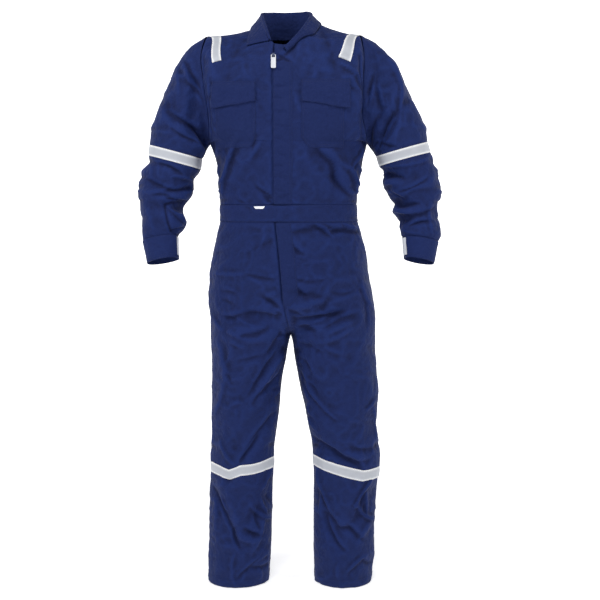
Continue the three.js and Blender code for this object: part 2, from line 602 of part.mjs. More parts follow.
// The value between low and high from which past is true, found by halving
function halve(low, high, past) {
  let [under, over] = [low, high];
  for (let step = 0; step < 24; step += 1) {
    const middle = (under + over) / 2;
    if (past(middle)) over = middle;
    else under = middle;
  }
  return (under + over) / 2;
}
const columnAt = (panel, x, b) =>
  halve(panel.across[0], panel.across.at(-1), (a) => (onPanel(panel, a, b).place.x - x) * panel.toSide > 0);
const rowAt = (panel, x, z) =>
  halve(panel.along[0], panel.along.at(-1), (b) => onPanel(panel, columnAt(panel, x, b), b).place.z > z);

// Columns of a patch between two edges, which are x at a height: the edges, the panel's own columns
// between them, and more columns where a corner is cut
function columnsOf(panel, near, far, height, extra = []) {
  const row = rowAt(panel, near(height), height);
  const columnOf = (edge) => ({ panel, edge, at: columnAt(panel, edge(height), row) });
  const edges = [near, ...extra, far].map(columnOf);
  const between = panel.across.filter((a) => a > edges[0].at && a < edges.at(-1).at);
  const free = between.filter((a) => edges.every((edge) => Math.abs(edge.at - a) > 0.02));
  const own = free.map((a) => ({ panel, at: a }));
  return [...edges, ...own].sort((one, other) => one.at - other.at);
}

// Rows of a patch between a bottom and a top, which are heights at an x: these edges, and the
// panel's own rows that lie between the two, at least a few millimetres from both
function rowsOf(panel, x, bottom, top, from, to) {
  const [low, high] = [rowAt(panel, x, from + 4), rowAt(panel, x, to - 4)];
  const own = panel.along.filter((b) => b > low && b < high).map((b) => ({ b }));
  return [{ edge: bottom }, ...own, { edge: top }];
}

// The body of a patch that lies on panels; rise gives the clearance under it for each row, and
// inside puts it behind the cloth
function sewn(columns, rows, outward, rise, thick = PATCH, inside = false) {
  const layers = [[], []];
  rows.forEach((row, j) => {
    const [low, high] = [[], []];
    for (const column of columns) {
      const { panel } = column;
      const xAt = (b) => column.edge(onPanel(panel, panel.across[0], b).place.z);
      const across = (b) => (column.edge ? columnAt(panel, xAt(b), b) : column.at);
      const past = (value) => {
        const { place } = onPanel(panel, across(value), value);
        return place.z > row.edge(place.x);
      };
      const cut = row.edge ? halve(panel.along[0], panel.along.at(-1), past) : 0;
      const b = Math.max(cut, row.b ?? 0);
      const { place, normal } = onPanel(panel, across(b), b);
      if (inside) normal.negate();
      const lift = (inside ? WALL : 0) + rise(j);
      low.push(place.clone().addScaledVector(normal, lift));
      high.push(place.clone().addScaledVector(normal, lift + thick));
    }
    layers[0].push(low);
    layers[1].push(high);
  });
  return closedBody(layers[1], layers[0], inside ? -outward : outward);
}

// Moves a point out until it is clear of the bodice by at least the given height
function clearOfBodice(place, height) {
  let nearest = { distance: Infinity };
  for (const name of ['frontRight', 'frontLeft', 'back']) {
    const panel = panels[name];
    panel.places.forEach((row, j) => {
      row.slice(1).forEach((unused, i) => {
        for (const [u, w] of [[0, 0], [0.5, 0], [0, 0.5], [0.5, 0.5], [0.25, 0.25], [0.75, 0.75]]) {
          const b = lerp(panel.along[j], panel.along[Math.min(j + 1, panel.along.length - 1)], w);
          const found = onPanel(panel, lerp(panel.across[i], panel.across[i + 1], u), b);
          const distance = found.place.distanceTo(place);
          if (distance < nearest.distance) nearest = { distance, ...found };
        }
      });
    });
  }
  const above = place.clone().sub(nearest.place).dot(nearest.normal);
  if (nearest.distance < 30 && above < height) place.addScaledVector(nearest.normal, height - above);
  return place;
}

const suit = new THREE.Group();
function add(name, geometry, color, roughness = 0.85, metalness = 0) {
  const mesh = new THREE.Mesh(geometry, new THREE.MeshStandardMaterial({ color, roughness, metalness }));
  mesh.name = name;
  suit.add(mesh);
  return mesh;
}

const series = (from, to, steps) =>
  Array.from({ length: steps + 1 }, (unused, i) => lerp(from, to, i / steps));
const X = point(1, 0, 0);
const Y = point(0, 1, 0);
const UP = point(0, 0, 1);
const DOWN = UP.clone().negate();
const FORWARD = Y.clone().negate();
const inwardOf = { right: X, left: X.clone().negate() };
const outwardOf = { right: X.clone().negate(), left: X };

// Rows of the trousers, closer near the crotch and with one at each edge of the knee tape
const kneeRows = { right: [318, 348], left: [303, 333] };
const trouserRows = (side) => [
  ...series(0, kneeRows[side][0], 9).slice(0, -1),
  ...series(kneeRows[side][0], kneeRows[side][1], 2).slice(0, -1),
  ...series(kneeRows[side][1], 694, 9),
  CROTCH,
  ...[730, 742, 757, 777, FORK],
  ...series(FORK, BAND_BOTTOM, 7).slice(1),
];

// Trousers: a front and a back for each leg, joined along the front and back seams above the crotch
for (const side of ['right', 'left']) {
  const rows = trouserRows(side);
  const heights = rows.map((z) => z / 1000);
  for (const [face, from, to] of [['front', 0, 0.5], ['back', 0.5, 1]]) {
    const across = series(from, to, QUARTER);
    const places = grid(trouserCloth[side], across, heights);
    if (face === 'front') {
      const name = side === 'right' ? 'legRight' : 'legLeft';
      keepPanel(name, places, across, heights, mirror[side], mirror[side]);
    }
    const toFace = face === 'front' ? FORWARD : Y;
    const middle = (j) => {
      if (rows[j] > CROTCH) return [outwardOf[side]];
      return rows[j] < CROTCH ? [toFace] : [toFace, outwardOf[side]];
    };
    const sideSeam = () => [toFace];
    const own = { top: [DOWN] };
    own.first = face === 'front' ? middle : sideSeam;
    own.last = face === 'front' ? sideSeam : middle;
    add(`trouser_${face}_${side}`, wall(places, mirror[side], own), NAVY);
  }
  const columns = series(0, 1, RING).slice(0, -1);
  const tapeHeights = series(kneeRows[side][0], kneeRows[side][1], 2).map((z) => z / 1000);
  const tape = grid(trouserCloth[side], columns, tapeHeights);
  const tapeNormals = normalsOf(tape, mirror[side], true);
  add(`knee_tape_${side}`, patch(tape, tapeNormals, mirror[side], 0.5, 0.9, true), SILVER);
}

// Waistband: a front from side seam to side seam, and a back
for (const face of ['front', 'back']) {
  const [from, to] = face === 'front' ? [0, 0.5] : [1, 0.5];
  const across = series(from, to, QUARTER);
  const heights = series(BAND_BOTTOM, BAND_TOP, 2).map((z) => z / 1000);
  const right = grid(bandCloth.right, across, heights);
  const left = grid(bandCloth.left, across, heights);
  const places = right.map((row, j) => [...row.slice(1).reverse(), ...left[j]]);
  if (face === 'front') keepPanel('band', places, series(-0.5, 0.5, 2 * QUARTER), heights, 1, 1);
  const toFace = face === 'front' ? FORWARD : Y;
  const own = { bottom: [UP], top: [DOWN], first: () => [toFace], last: () => [toFace] };
  add(`waistband_${face}`, wall(places, face === 'front' ? 1 : -1, own), NAVY);
}

// Bodice: two fronts that meet at the zip, and a back in one piece
const bodiceRows = [...series(0, 1, 6).slice(0, -1), ...series(1, 2, RISE)];
const bodiceOwn = (side, face) => (j) => {
  const toFace = face === 'front' ? FORWARD : Y;
  if (bodiceRows[j] < 1) return [toFace];
  return bodiceRows[j] > 1 ? [inwardOf[side]] : [toFace, inwardOf[side]];
};
for (const side of ['right', 'left']) {
  const across = series(0, 1, QUARTER);
  const places = grid(bodiceCloth[side].front, across, bodiceRows);
  const name = side === 'right' ? 'frontRight' : 'frontLeft';
  keepPanel(name, places, across, bodiceRows, mirror[side], mirror[side]);
  const own = { bottom: [UP], first: () => [outwardOf[side]], last: bodiceOwn(side, 'front') };
  const rows = wall(places, mirror[side], { ...own, top: [FORWARD, DOWN] });
  add(`bodice_front_${side}`, rows, NAVY);
}
{
  const right = grid(bodiceCloth.right.back, series(0, 1, QUARTER), bodiceRows);
  const left = grid(bodiceCloth.left.back, series(0, 1, QUARTER), bodiceRows);
  const places = right.map((row, j) => [...row.slice(1).reverse(), ...left[j]]);
  keepPanel('back', places, series(-1, 1, 2 * QUARTER), bodiceRows, -1, 1);
  const own = { bottom: [UP], first: bodiceOwn('right', 'back'), last: bodiceOwn('left', 'back') };
  add('bodice_back', wall(places, -1, { ...own, top: [Y, DOWN] }), NAVY);
}

// Sleeves, cuffs and the tapes round the upper arms
const roundSleeve = series(0, 1, RING).slice(0, -1);
for (const side of ['right', 'left']) {
  const outward = mirror[side];
  const arm = grid(sleeveCloth[side], roundSleeve, series(0, CUFF_SEAM, CUFF_SEAM));
  add(`sleeve_${side}`, wall(arm, outward, { bottom: [outwardOf[side]], top: [UP] }, true), NAVY);
  const cuff = grid(sleeveCloth[side], roundSleeve, series(CUFF_SEAM, CUFF_END, 3));
  add(`cuff_${side}`, wall(cuff, outward, { bottom: [DOWN] }, true), NAVY);
  const tape = grid(sleeveCloth[side], roundSleeve, TAPE_RINGS);
  add(`sleeve_tape_${side}`, patch(tape, normalsOf(tape, outward, true), outward, 0.5, 0.9, true), SILVER);
}

const frontOf = { right: panels.frontRight, left: panels.frontLeft };
const flat = (value) => () => value;

// Placket over the zip, and the flap over the fly. Both reach a little past the closing edge.
const PLACKET = { edge: -43, far: 9, bottom: 1094, top: 1472 };
{
  const past = { panel: panels.frontRight, edge: flat(PLACKET.edge), at: 0 };
  const columns = columnsOf(panels.frontLeft, flat(ZIP_X + 0.5), flat(PLACKET.far), PLACKET.bottom + 20);
  const { bottom, top } = PLACKET;
  const rows = rowsOf(panels.frontLeft, ZIP_X + 20, flat(bottom), flat(top), bottom, top);
  add('placket', sewn([past, ...columns], rows, 1, flat(LIFT)), NAVY);
}
const FLY = { over: 3, width: 40, bottom: 818, top: 1043, curve: 60 };
{
  const split = (z) => read(TRUNK, 'split', z);
  const past = { panel: panels.legRight, edge: (z) => split(z) - FLY.over, at: 0 };
  const far = (z) => split(z) + FLY.width * smooth(0.45 + (z - FLY.bottom) / FLY.curve);
  const columns = columnsOf(panels.legLeft, (z) => split(z) + 0.5, far, FLY.top - 10);
  const rows = rowsOf(panels.legLeft, 0, flat(FLY.bottom), flat(FLY.top), FLY.bottom, FLY.top);
  add('fly_flap', sewn([past, ...columns], rows, 1, flat(LIFT)), NAVY);
}

// Chest pockets with the bottom corner by the placket cut off, and their flaps
const POCKETS = {
  right: { near: -91, far: -198, top: 1408, bottom: 1246, cutX: -106, cutZ: 1268 },
  left: { near: 32, far: 146, top: 1408, bottom: 1246, cutX: 53, cutZ: 1274 },
};
const FLAPS = {
  right: { near: -92, far: -207, top: 1421, nearBottom: 1369, farBottom: 1349 },
  left: { near: 33, far: 162, top: 1427, nearBottom: 1369, farBottom: 1350 },
};
for (const side of ['right', 'left']) {
  const panel = frontOf[side];
  const pocket = POCKETS[side];
  const cut = (x) => Math.max(0, (x - pocket.cutX) / (pocket.near - pocket.cutX));
  const bottomAt = (x) => lerp(pocket.bottom, pocket.cutZ, cut(x));
  const middle = (pocket.near + pocket.far) / 2;
  const pocketColumns = columnsOf(panel, flat(pocket.near), flat(pocket.far), 1300, [flat(pocket.cutX)]);
  const pocketRows = rowsOf(panel, middle, bottomAt, flat(pocket.top), pocket.cutZ + 2, pocket.top);
  pocketRows.splice(1, 0, { b: 1, edge: (x) => bottomAt(x) + 2 });
  add(`chest_pocket_${side}`, sewn(pocketColumns, pocketRows, mirror[side], flat(LIFT)), NAVY);
  const flap = FLAPS[side];
  const lowerAt = (x) => lerp(flap.nearBottom, flap.farBottom, (x - flap.near) / (flap.far - flap.near));
  const flapColumns = columnsOf(panel, flat(flap.near), flat(flap.far), 1390);
  const flapEdge = (share) => (x) => lerp(lowerAt(x), pocket.top + 4, share);
  const flapRows = [0, 0.33, 0.67, 1].map((share) => ({ edge: flapEdge(share) }));
  flapRows.push({ edge: flat(flap.top) });
  const rise = (j) => (j === flapRows.length - 1 ? LIFT : LIFT + PATCH + 0.8);
  add(`pocket_flap_${side}`, sewn(flapColumns, flapRows, mirror[side], rise), NAVY);
}

// Shoulder tapes, over the shoulder seams from the chest to the shoulder blades: x at the ridge of
// the shoulder, and x and height at the lower end
const SHOULDER_TAPES = {
  right: [
    { ridge: -194, x: -184, z: 1475 },
    { ridge: -226, x: -206, z: 1466 },
  ],
  left: [
    { ridge: 174, x: 134, z: 1485 },
    { ridge: 204, x: 163, z: 1474 },
  ],
};
for (const side of ['right', 'left']) {
  const neckX = NECK[side].front.at(-1).x;
  const armX = SLEEVES[side][0].outX;
  const edges = SHOULDER_TAPES[side].map(({ ridge, x, z }) => {
    const b = rowAt(frontOf[side], x, z);
    return { low: [columnAt(frontOf[side], x, b), b], top: 0.5 + (0.5 * (ridge - neckX)) / (armX - neckX) };
  });
  const rowOf = (panel, sign, row) =>
    series(0, 1, 2).map((across) => {
      const between = (size) => lerp(size(edges[0]), size(edges[1]), across);
      const start = between((edge) => edge.low[1]);
      const share = row === 'end' ? 0 : (row - start) / (2 - start);
      const a = lerp(between((edge) => edge.low[0]), between((edge) => edge.top), share);
      return onPanel(panel, sign * a, lerp(start, 2, share)).place;
    });
  const least = Math.max(edges[0].low[1], edges[1].low[1]) + 0.004;
  const rows = ['end', ...frontOf[side].along.filter((b) => b > least)];
  const places = [
    ...rows.map((row) => rowOf(frontOf[side], 1, row)),
    ...rows.slice(0, -1).reverse().map((row) => rowOf(panels.back, mirror[side], row)),
  ];
  const normals = normalsOf(places, mirror[side], false);
  add(`shoulder_tape_${side}`, patch(places, normals, mirror[side], 1.2, 0.9), SILVER);
}

// Collar: a stand round the neckline, a soft fold, and a leaf that falls outside; its left end
// rolls down to the placket
const CREST = { width: 7, height: 3.5 };
{
  const places = [];
  for (const station of COLLAR) {
    const edge = station.stand ? point(...station.stand) : upperEdge(station.side, station.face, station.at);
    const neck = station.stand ? clearOfBodice(edge, WALL + 0.6) : edge.add(point(0, 0, 1));
    const fold = point(...station.fold);
    const leaf = clearOfBodice(point(...station.leaf), WALL + 1.8);
    const aside = point(leaf.x - neck.x, leaf.y - neck.y, 0).normalize();
    const size = Math.min(1, fold.distanceTo(leaf) / 24);
    const crest = (along, rise) =>
      fold
        .clone()
        .addScaledVector(aside, CREST.width * size * along)
        .addScaledVector(UP, CREST.height * size * rise);
    const start = crest(1, -0.2);
    const bulge = 3 * size;
    const fall = (share) =>
      clearOfBodice(start.clone().lerp(leaf, share).addScaledVector(aside, bulge), WALL + 1);
    const profile = [neck, neck.clone().lerp(fold, 0.5), fold];
    profile.push(crest(0.18, 0.75), crest(0.5, 1), crest(0.82, 0.75), start);
    profile.push(fall(0.35), fall(0.7), leaf);
    places.push(profile);
  }
  const rows = places[0].map((unused, k) => places.map((column) => column[k]));
  add('collar', wall(rows, -1), NAVY);
}

// Zip tape, behind the edges of the two fronts
const ZIP_TAPE = { half: 11, bottom: 1097, top: 1500 };
{
  const { bottom, top } = ZIP_TAPE;
  const rows = rowsOf(panels.frontLeft, ZIP_X + 10, flat(bottom), flat(top), bottom, top);
  const columns = [
    { panel: panels.frontRight, edge: flat(ZIP_X - ZIP_TAPE.half), at: 0 },
    { panel: panels.frontRight, edge: flat(ZIP_X - 0.5), at: 0 },
    { panel: panels.frontLeft, edge: flat(ZIP_X + 0.5), at: 0 },
    { panel: panels.frontLeft, edge: flat(ZIP_X + ZIP_TAPE.half), at: 0 },
  ];
  add('zip_tape', sewn(columns, rows, 1, flat(0.4), 0.8, true), NAVY);
}

// Zip slider with a bridge, and the pull tab that hangs on it. Their sizes are measured from the
// middle of the tab's top bar, which is the axis that it turns about: y is below zero away from
// the cloth, and z is up along the cloth.
const SLIDER = { x: -43, z: 1490, clear: 0.7, width: 7, back: 4.3, plate: 1.1, top: 6, bottom: -7 };
const BRIDGE = { top: 5, bottom: -3, out: 2.3, thick: 1.2, corner: 0.9 };
const PULL = { width: 13, length: 37, thick: 1.2, bar: 1.6, eyeWidth: 8.6, eye: 6, corner: 1.5 };
const zip = new THREE.Group();
{
  const row = rowAt(panels.frontRight, SLIDER.x, SLIDER.z);
  const { place, normal } = onPanel(panels.frontRight, columnAt(panels.frontRight, SLIDER.x, row), row);
  const lean = Math.atan2(-normal.z, -normal.y);
  const out = point(0, -Math.cos(lean), -Math.sin(lean));
  zip.position.copy(place).addScaledVector(out, SLIDER.back + SLIDER.clear);
  zip.rotation.x = lean;
  suit.add(zip);
}
{
  const { back, plate, top, bottom } = SLIDER;
  const outline = [
    [back, bottom],
    [back, top],
    [plate, top],
    [plate, BRIDGE.top],
    [-BRIDGE.out + BRIDGE.corner, BRIDGE.top],
    [-BRIDGE.out, BRIDGE.top - BRIDGE.corner],
    [-BRIDGE.out, BRIDGE.bottom + BRIDGE.corner],
    [-BRIDGE.out + BRIDGE.corner, BRIDGE.bottom],
    [plate, BRIDGE.bottom],
    [plate, bottom],
  ];
  const side = new THREE.Shape(outline.map(([x, y]) => new THREE.Vector2(x, y)));
  const opening = [
    [plate, BRIDGE.bottom + BRIDGE.thick],
    [-BRIDGE.out + BRIDGE.thick, BRIDGE.bottom + BRIDGE.thick],
    [-BRIDGE.out + BRIDGE.thick, BRIDGE.top - BRIDGE.thick],
    [plate, BRIDGE.top - BRIDGE.thick],
  ];
  side.holes.push(new THREE.Path(opening.map(([x, y]) => new THREE.Vector2(x, y))));
  const body = new THREE.ExtrudeGeometry(side, { depth: SLIDER.width, bevelEnabled: false });
  body.rotateY(Math.PI / 2).rotateX(Math.PI / 2).translate(-SLIDER.width / 2, 0, 0);
  zip.add(add('zip_slider', body, SILVER, 0.35, 0.8));
}
{
  const half = PULL.width / 2;
  const top = PULL.bar / 2;
  const bottom = top - PULL.length;
  const outline = [
    [-half + PULL.corner, bottom],
    [half - PULL.corner, bottom],
    [half, bottom + PULL.corner],
    [half, top],
    [-half, top],
    [-half, bottom + PULL.corner],
  ];
  const face = new THREE.Shape(outline.map(([x, y]) => new THREE.Vector2(x, y)));
  const eye = [
    [-PULL.eyeWidth / 2, -top - PULL.eye],
    [-PULL.eyeWidth / 2, -top],
    [PULL.eyeWidth / 2, -top],
    [PULL.eyeWidth / 2, -top - PULL.eye],
  ];
  face.holes.push(new THREE.Path(eye.map(([x, y]) => new THREE.Vector2(x, y))));
  const tab = new THREE.ExtrudeGeometry(face, { depth: PULL.thick, bevelEnabled: false });
  tab.rotateX(Math.PI / 2).translate(0, PULL.thick / 2, 0);
  zip.add(add('zip_pull_tab', tab, WHITE, 0.4, 0.2));
}

// Bare labels: one inside the back of the neck, one under the top seam of the waistband
const NECK_LABEL = { from: -17, to: 5, bottom: 1557, top: 1573 };
const WAIST_LABEL = { from: -98, to: -67, bottom: 1078, top: 1089 };
{
  const { from, to, bottom, top } = NECK_LABEL;
  const columns = columnsOf(panels.back, flat(from), flat(to), top);
  const rows = [{ edge: flat(bottom) }, { edge: flat(top) }];
  add('neck_label', sewn(columns, rows, -1, flat(0.6), 0.8, true), WHITE);
}
{
  const { from, to, bottom, top } = WAIST_LABEL;
  const columns = columnsOf(panels.band, flat(from), flat(to), bottom);
  const rows = [{ edge: flat(bottom) }, { edge: flat(top) }];
  add('waist_label', sewn(columns, rows, 1, flat(LIFT), 0.8), WHITE);
}

// Fastening strips on the edges of the cuffs that lie towards the body
const CUFF_STRIPS = { right: { from: 0.44, to: 0.53 }, left: { from: 0.41, to: 0.5 } };
for (const side of ['right', 'left']) {
  const across = series(CUFF_STRIPS[side].from, CUFF_STRIPS[side].to, 2);
  const places = grid(sleeveCloth[side], across, series(CUFF_SEAM + 0.3, CUFF_END - 0.6, 3));
  const outward = mirror[side];
  add(`cuff_strip_${side}`, patch(places, normalsOf(places, outward, false), outward, 0.8, 0.8), WHITE);
}

suit.position.z = -HOLD_HEIGHT;
suit.updateMatrixWorld(true);

export default suit;
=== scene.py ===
import math
import bpy
import numpy as np
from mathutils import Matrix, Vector
from mathutils.bvhtree import BVHTree


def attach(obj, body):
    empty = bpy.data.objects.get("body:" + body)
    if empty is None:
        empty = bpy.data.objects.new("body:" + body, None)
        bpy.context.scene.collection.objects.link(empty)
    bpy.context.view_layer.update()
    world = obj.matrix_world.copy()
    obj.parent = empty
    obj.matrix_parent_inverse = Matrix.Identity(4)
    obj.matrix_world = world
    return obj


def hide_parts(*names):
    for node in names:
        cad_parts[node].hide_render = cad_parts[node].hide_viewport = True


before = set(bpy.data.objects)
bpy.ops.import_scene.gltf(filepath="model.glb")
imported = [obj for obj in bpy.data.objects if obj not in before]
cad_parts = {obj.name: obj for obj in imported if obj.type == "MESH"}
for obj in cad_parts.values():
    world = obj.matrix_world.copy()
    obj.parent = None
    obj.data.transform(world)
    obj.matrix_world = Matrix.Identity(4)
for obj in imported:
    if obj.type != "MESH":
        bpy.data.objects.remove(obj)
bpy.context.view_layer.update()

HOLD = 1540
CLOTH = 1.5
STEP = 4.2  # size of the faces of the cloth
BAND_BOTTOM = 1045
BAND_TOP = 1092
ARMPIT = 1265
CROTCH = 722
FORK = 800
SIDE_Y = 8
ZIP_X = -40
CUFF_SEAM = 21
CUFF_END = 24
MIRROR = {"right": -1, "left": 1}
NUDGE = 0.004


def table(columns, *rows):
    values = np.array(rows, float)
    return {name: values[:, k] for k, name in enumerate(columns.split())}


TRUNK = table(
    "z right left front back middle split spine",
    (705, -227, 243, -122, 138, 4, 2, 2),
    (771, -229, 243, -127, 148, 3, -8, 2),
    (820, -232, 237, -131, 151, 2, -15, 1),
    (863, -232, 230, -133, 150, 1, -18, 0),
    (909, -228, 222, -133, 145, -1, -22, 0),
    (954, -219, 216, -130, 137, -2, -26, -1),
    (1000, -208, 203, -125, 127, -3, -31, -1),
    (1045, -199, 192, -119, 116, -4, -36, -2),
    (1092, -198, 189, -118, 113, -5, -40, -2),
    (1135, -198, 190, -125, 117, -5, -40, -2),
    (1180, -202, 199, -130, 121, -5, -40, -2),
    (1225, -209, 207, -132, 124, -6, -40, -3),
    (1265, -226, 217, -132, 127, -7, -40, -3),
)
LEGS = table(
    "z rightOut rightIn leftIn leftOut front back",
    (0, -240, -63, 72, 238, -82, 94),
    (86, -239, -57, 69, 245, -83, 93),
    (182, -236, -54, 69, 244, -84, 92),
    (278, -234, -51, 69, 252, -86, 91),
    (330, -231, -48, 66, 258, -88, 91),
    (373, -230, -47, 63, 260, -90, 92),
    (421, -227, -41, 54, 254, -93, 94),
    (468, -227, -35, 48, 247, -96, 97),
    (515, -226, -30, 41, 252, -99, 101),
    (562, -226, -27, 31, 253, -102, 107),
    (609, -225, -21, 22, 248, -106, 114),
    (655, -225, -12, 14, 246, -110, 122),
    (705, -227, -3, 7, 243, -115, 132),
    (722, -227, 2, 2, 243, -118, 136),
)
KNEE = {"z": 333, "reach": 230, "right": 19, "left": 40}
SLEEVES = {
    "right": table(
        "outX outZ inX inZ",
        (-230, 1556, -226, 1265), (-257, 1541, -229, 1259), (-281, 1520, -232, 1254),
        (-303, 1491, -235, 1249), (-323, 1458, -237, 1244), (-347, 1408, -240, 1238),
        (-366, 1366, -242, 1232), (-380, 1325, -244, 1227), (-389, 1290, -246, 1223),
        (-394, 1258, -248, 1219), (-396, 1228, -252, 1190), (-397, 1208, -260, 1180),
        (-413, 1184, -271, 1163), (-422, 1158, -273, 1142), (-425, 1134, -277, 1120),
        (-424, 1110, -289, 1100), (-421, 1088, -300, 1080), (-418, 1064, -297, 1061),
        (-416, 1042, -289, 1044), (-414, 1020, -296, 1027), (-412, 1004, -309, 1015),
        (-411, 991, -312, 1007),
    ),
    "left": table(
        "outX outZ inX inZ",
        (197, 1559, 217, 1265), (224, 1547, 220, 1260), (249, 1528, 222, 1257),
        (273, 1503, 225, 1253), (294, 1472, 228, 1249), (320, 1427, 231, 1245),
        (342, 1386, 234, 1241), (361, 1344, 237, 1236), (377, 1304, 240, 1231),
        (386, 1266, 243, 1226), (394, 1237, 252, 1199), (401, 1217, 263, 1188),
        (408, 1195, 265, 1172), (416, 1170, 262, 1155), (420, 1143, 271, 1134),
        (421, 1116, 281, 1112), (414, 1092, 295, 1092), (412, 1070, 288, 1071),
        (416, 1046, 306, 1050), (419, 1022, 306, 1030), (420, 1004, 309, 1015),
        (414, 988, 313, 1003),
    ),
}
CUFFS = {
    "right": {"outX": -397, "outZ": 928, "inX": -309, "inZ": 944},
    "left": {"outX": 401, "outZ": 928, "inX": 318, "inZ": 944},
}
SLEEVE_DEPTH = table(
    "z front back drop",
    (0, -75, 93, 0), (4, -77, 88, 0), (9, -80, 80, 2), (13, -84, 66, 12),
    (17, -88, 40, 18), (20, -88, 6, 18), (21, -88, 0, 18), (24, -98, -14, 20),
)
ARMHOLES = {
    "right": {"front": -75, "back": 93, "inward": 8},
    "left": {"front": -75, "back": 93, "inward": -8},
}
ARMHOLE_SWING = table(
    "z right left",
    (0, 0, 0), (0.17, 3, -6), (0.33, 5, -15), (0.5, -4, -8), (0.68, -14, 2), (0.85, -6, 1), (1, 0, 0),
)
NECK = {
    ("right", "front"): table(
        "z x y up",
        (0, -40, -107, 1523), (0.12, -49, -100, 1531), (0.3, -72, -62, 1556), (0.5, -88, 14, 1582),
    ),
    ("right", "back"): table(
        "z x y up", (0, -8, 79, 1591), (0.25, -50, 68, 1590), (0.5, -88, 14, 1582),
    ),
    ("left", "front"): table(
        "z x y up",
        (0, -40, -107, 1523), (0.2, -6, -103, 1523), (0.32, 22, -88, 1541), (0.42, 52, -48, 1568),
        (0.5, 74, 14, 1595),
    ),
    ("left", "back"): table(
        "z x y up", (0, -8, 79, 1591), (0.25, 34, 68, 1595), (0.5, 74, 14, 1595),
    ),
}
CENTRES = {
    "front": table(
        "z x y up", (0, -40, -132, 1265), (0.4, -40, -131, 1370), (0.75, -40, -122, 1460),
            (1, -40, -107, 1523),
    ),
    "back": table(
        "z x y up",
        (0, -3, 127, 1265), (0.35, -4, 133, 1380), (0.7, -6, 123, 1495), (0.88, -8, 102, 1554),
        (1, -8, 79, 1591),
    ),
}
COLLAR = (
    ("right", "front", 0.13, (-51, -102, 1532), (-112, -76, 1516)),
    ("right", "front", 0.23, (-58, -84, 1555), (-113, -51, 1538)),
    ("right", "front", 0.33, (-67, -54, 1581), (-110, -20, 1561)),
    ("right", "front", 0.43, (-74, -16, 1604), (-108, 9, 1575)),
    ("right", "back", 0.47, (-77, 24, 1619), (-104, 46, 1580)),
    ("right", "back", 0.34, (-66, 49, 1625), (-84, 80, 1579)),
    ("right", "back", 0.18, (-42, 64, 1627), (-50, 98, 1575)),
    ("right", "back", 0, (-9, 70, 1628), (-10, 104, 1574)),
    ("left", "back", 0.2, (24, 64, 1628), (32, 98, 1577)),
    ("left", "back", 0.36, (46, 48, 1627), (64, 78, 1583)),
    ("left", "back", 0.48, (58, 20, 1619), (86, 44, 1592)),
    ("left", "front", 0.465, (54, -14, 1603), (84, 4, 1587)),
    ("left", "front", 0.425, (43, -46, 1584), (73, -34, 1562)),
    ("left", "front", 0.385, (34, -70, 1568), (62, -60, 1544)),
    ("left", "front", 0.35, (28, -82, 1558), (42, -82, 1540)),
    ("left", "front", 0.315, (19, -98, 1545), (29, -94, 1535)),
    (None, (2, -106, 1524), None, (2, -110, 1526), (9, -109, 1516)),
    (None, (-16, -112, 1508), None, (-15, -117, 1509), (-9, -116, 1501)),
)

# Large folds, seen from the front or the back: a line, its half width, and how far it stands out
FOLDS = {
    "front": (
        (-122, 1222, -168, 1160, 24, 6), (70, 1224, 122, 1150, 21, -7), (112, 1222, 172, 1158, 21, 8),
        (144, 1206, 190, 1140, 18, -7), (60, 1022, 165, 1008, 21, -5), (20, 770, 130, 792, 21, -8),
        (28, 745, 150, 765, 21, 8), (-18, 778, -110, 786, 21, -6), (-24, 750, -130, 742, 24, 6),
        (-40, 690, -130, 560, 24, -6), (-45, 560, -150, 420, 24, -6), (52, 600, 120, 500, 21, -6),
        (70, 420, 190, 360, 21, -6), (-225, 270, -165, 150, 21, -7), (-60, 260, -125, 195, 21, -7),
        (-110, 180, -160, 195, 21, 5), (78, 270, 135, 165, 21, -7), (240, 270, 178, 190, 21, -8),
        (150, 190, 190, 175, 21, 5), (-236, 1478, -268, 1330, 21, -7), (-262, 1455, -292, 1300, 21, 6),
        (-330, 1360, -262, 1290, 21, -6), (-345, 1320, -262, 1262, 21, 6), (225, 1500, 250, 1330, 21, -6),
        (305, 1365, 262, 1275, 18, -8), (282, 1480, 308, 1360, 21, 6), (-402, 1165, -290, 1138, 18, -5),
        (-408, 1120, -300, 1106, 18, 5), (-372, 1088, -300, 1086, 18, -7),
        (-362, 1074, -300, 1042, 18, 6), (278, 1170, 345, 1166, 18, -6), (295, 1128, 385, 1158, 18, 6),
        (300, 1092, 365, 1104, 18, -6), (322, 1052, 398, 1066, 18, -6), (-228, 1350, -222, 1262, 16, -8),
        (204, 1335, 208, 1268, 15, -7), (-205, 1470, -196, 1340, 22, 5), (176, 1470, 180, 1345, 22, 5),
        (-60, 1480, -120, 1440, 26, 4), (2, 782, 2, 728, 13, -9),
    ),
    "back": (
        (-150, 1250, -60, 1130, 24, -7), (150, 1255, 70, 1125, 24, -8), (-165, 1340, -90, 1380, 24, -6),
        (155, 1340, 80, 1385, 24, -6), (-120, 1125, 100, 1118, 21, 6), (-170, 800, -40, 760, 24, -8),
        (170, 805, 45, 765, 24, -8), (-60, 700, -150, 600, 24, -6), (60, 700, 160, 590, 24, -6),
        (-70, 400, -215, 372, 21, -7), (80, 410, 235, 378, 21, -7), (-75, 275, -190, 235, 21, 6),
        (90, 270, 215, 240, 21, 6), (-255, 1440, -300, 1290, 21, -6), (245, 1440, 290, 1290, 21, -6),
        (-400, 1150, -295, 1125, 18, 6), (290, 1140, 400, 1125, 18, 6),
    ),
}

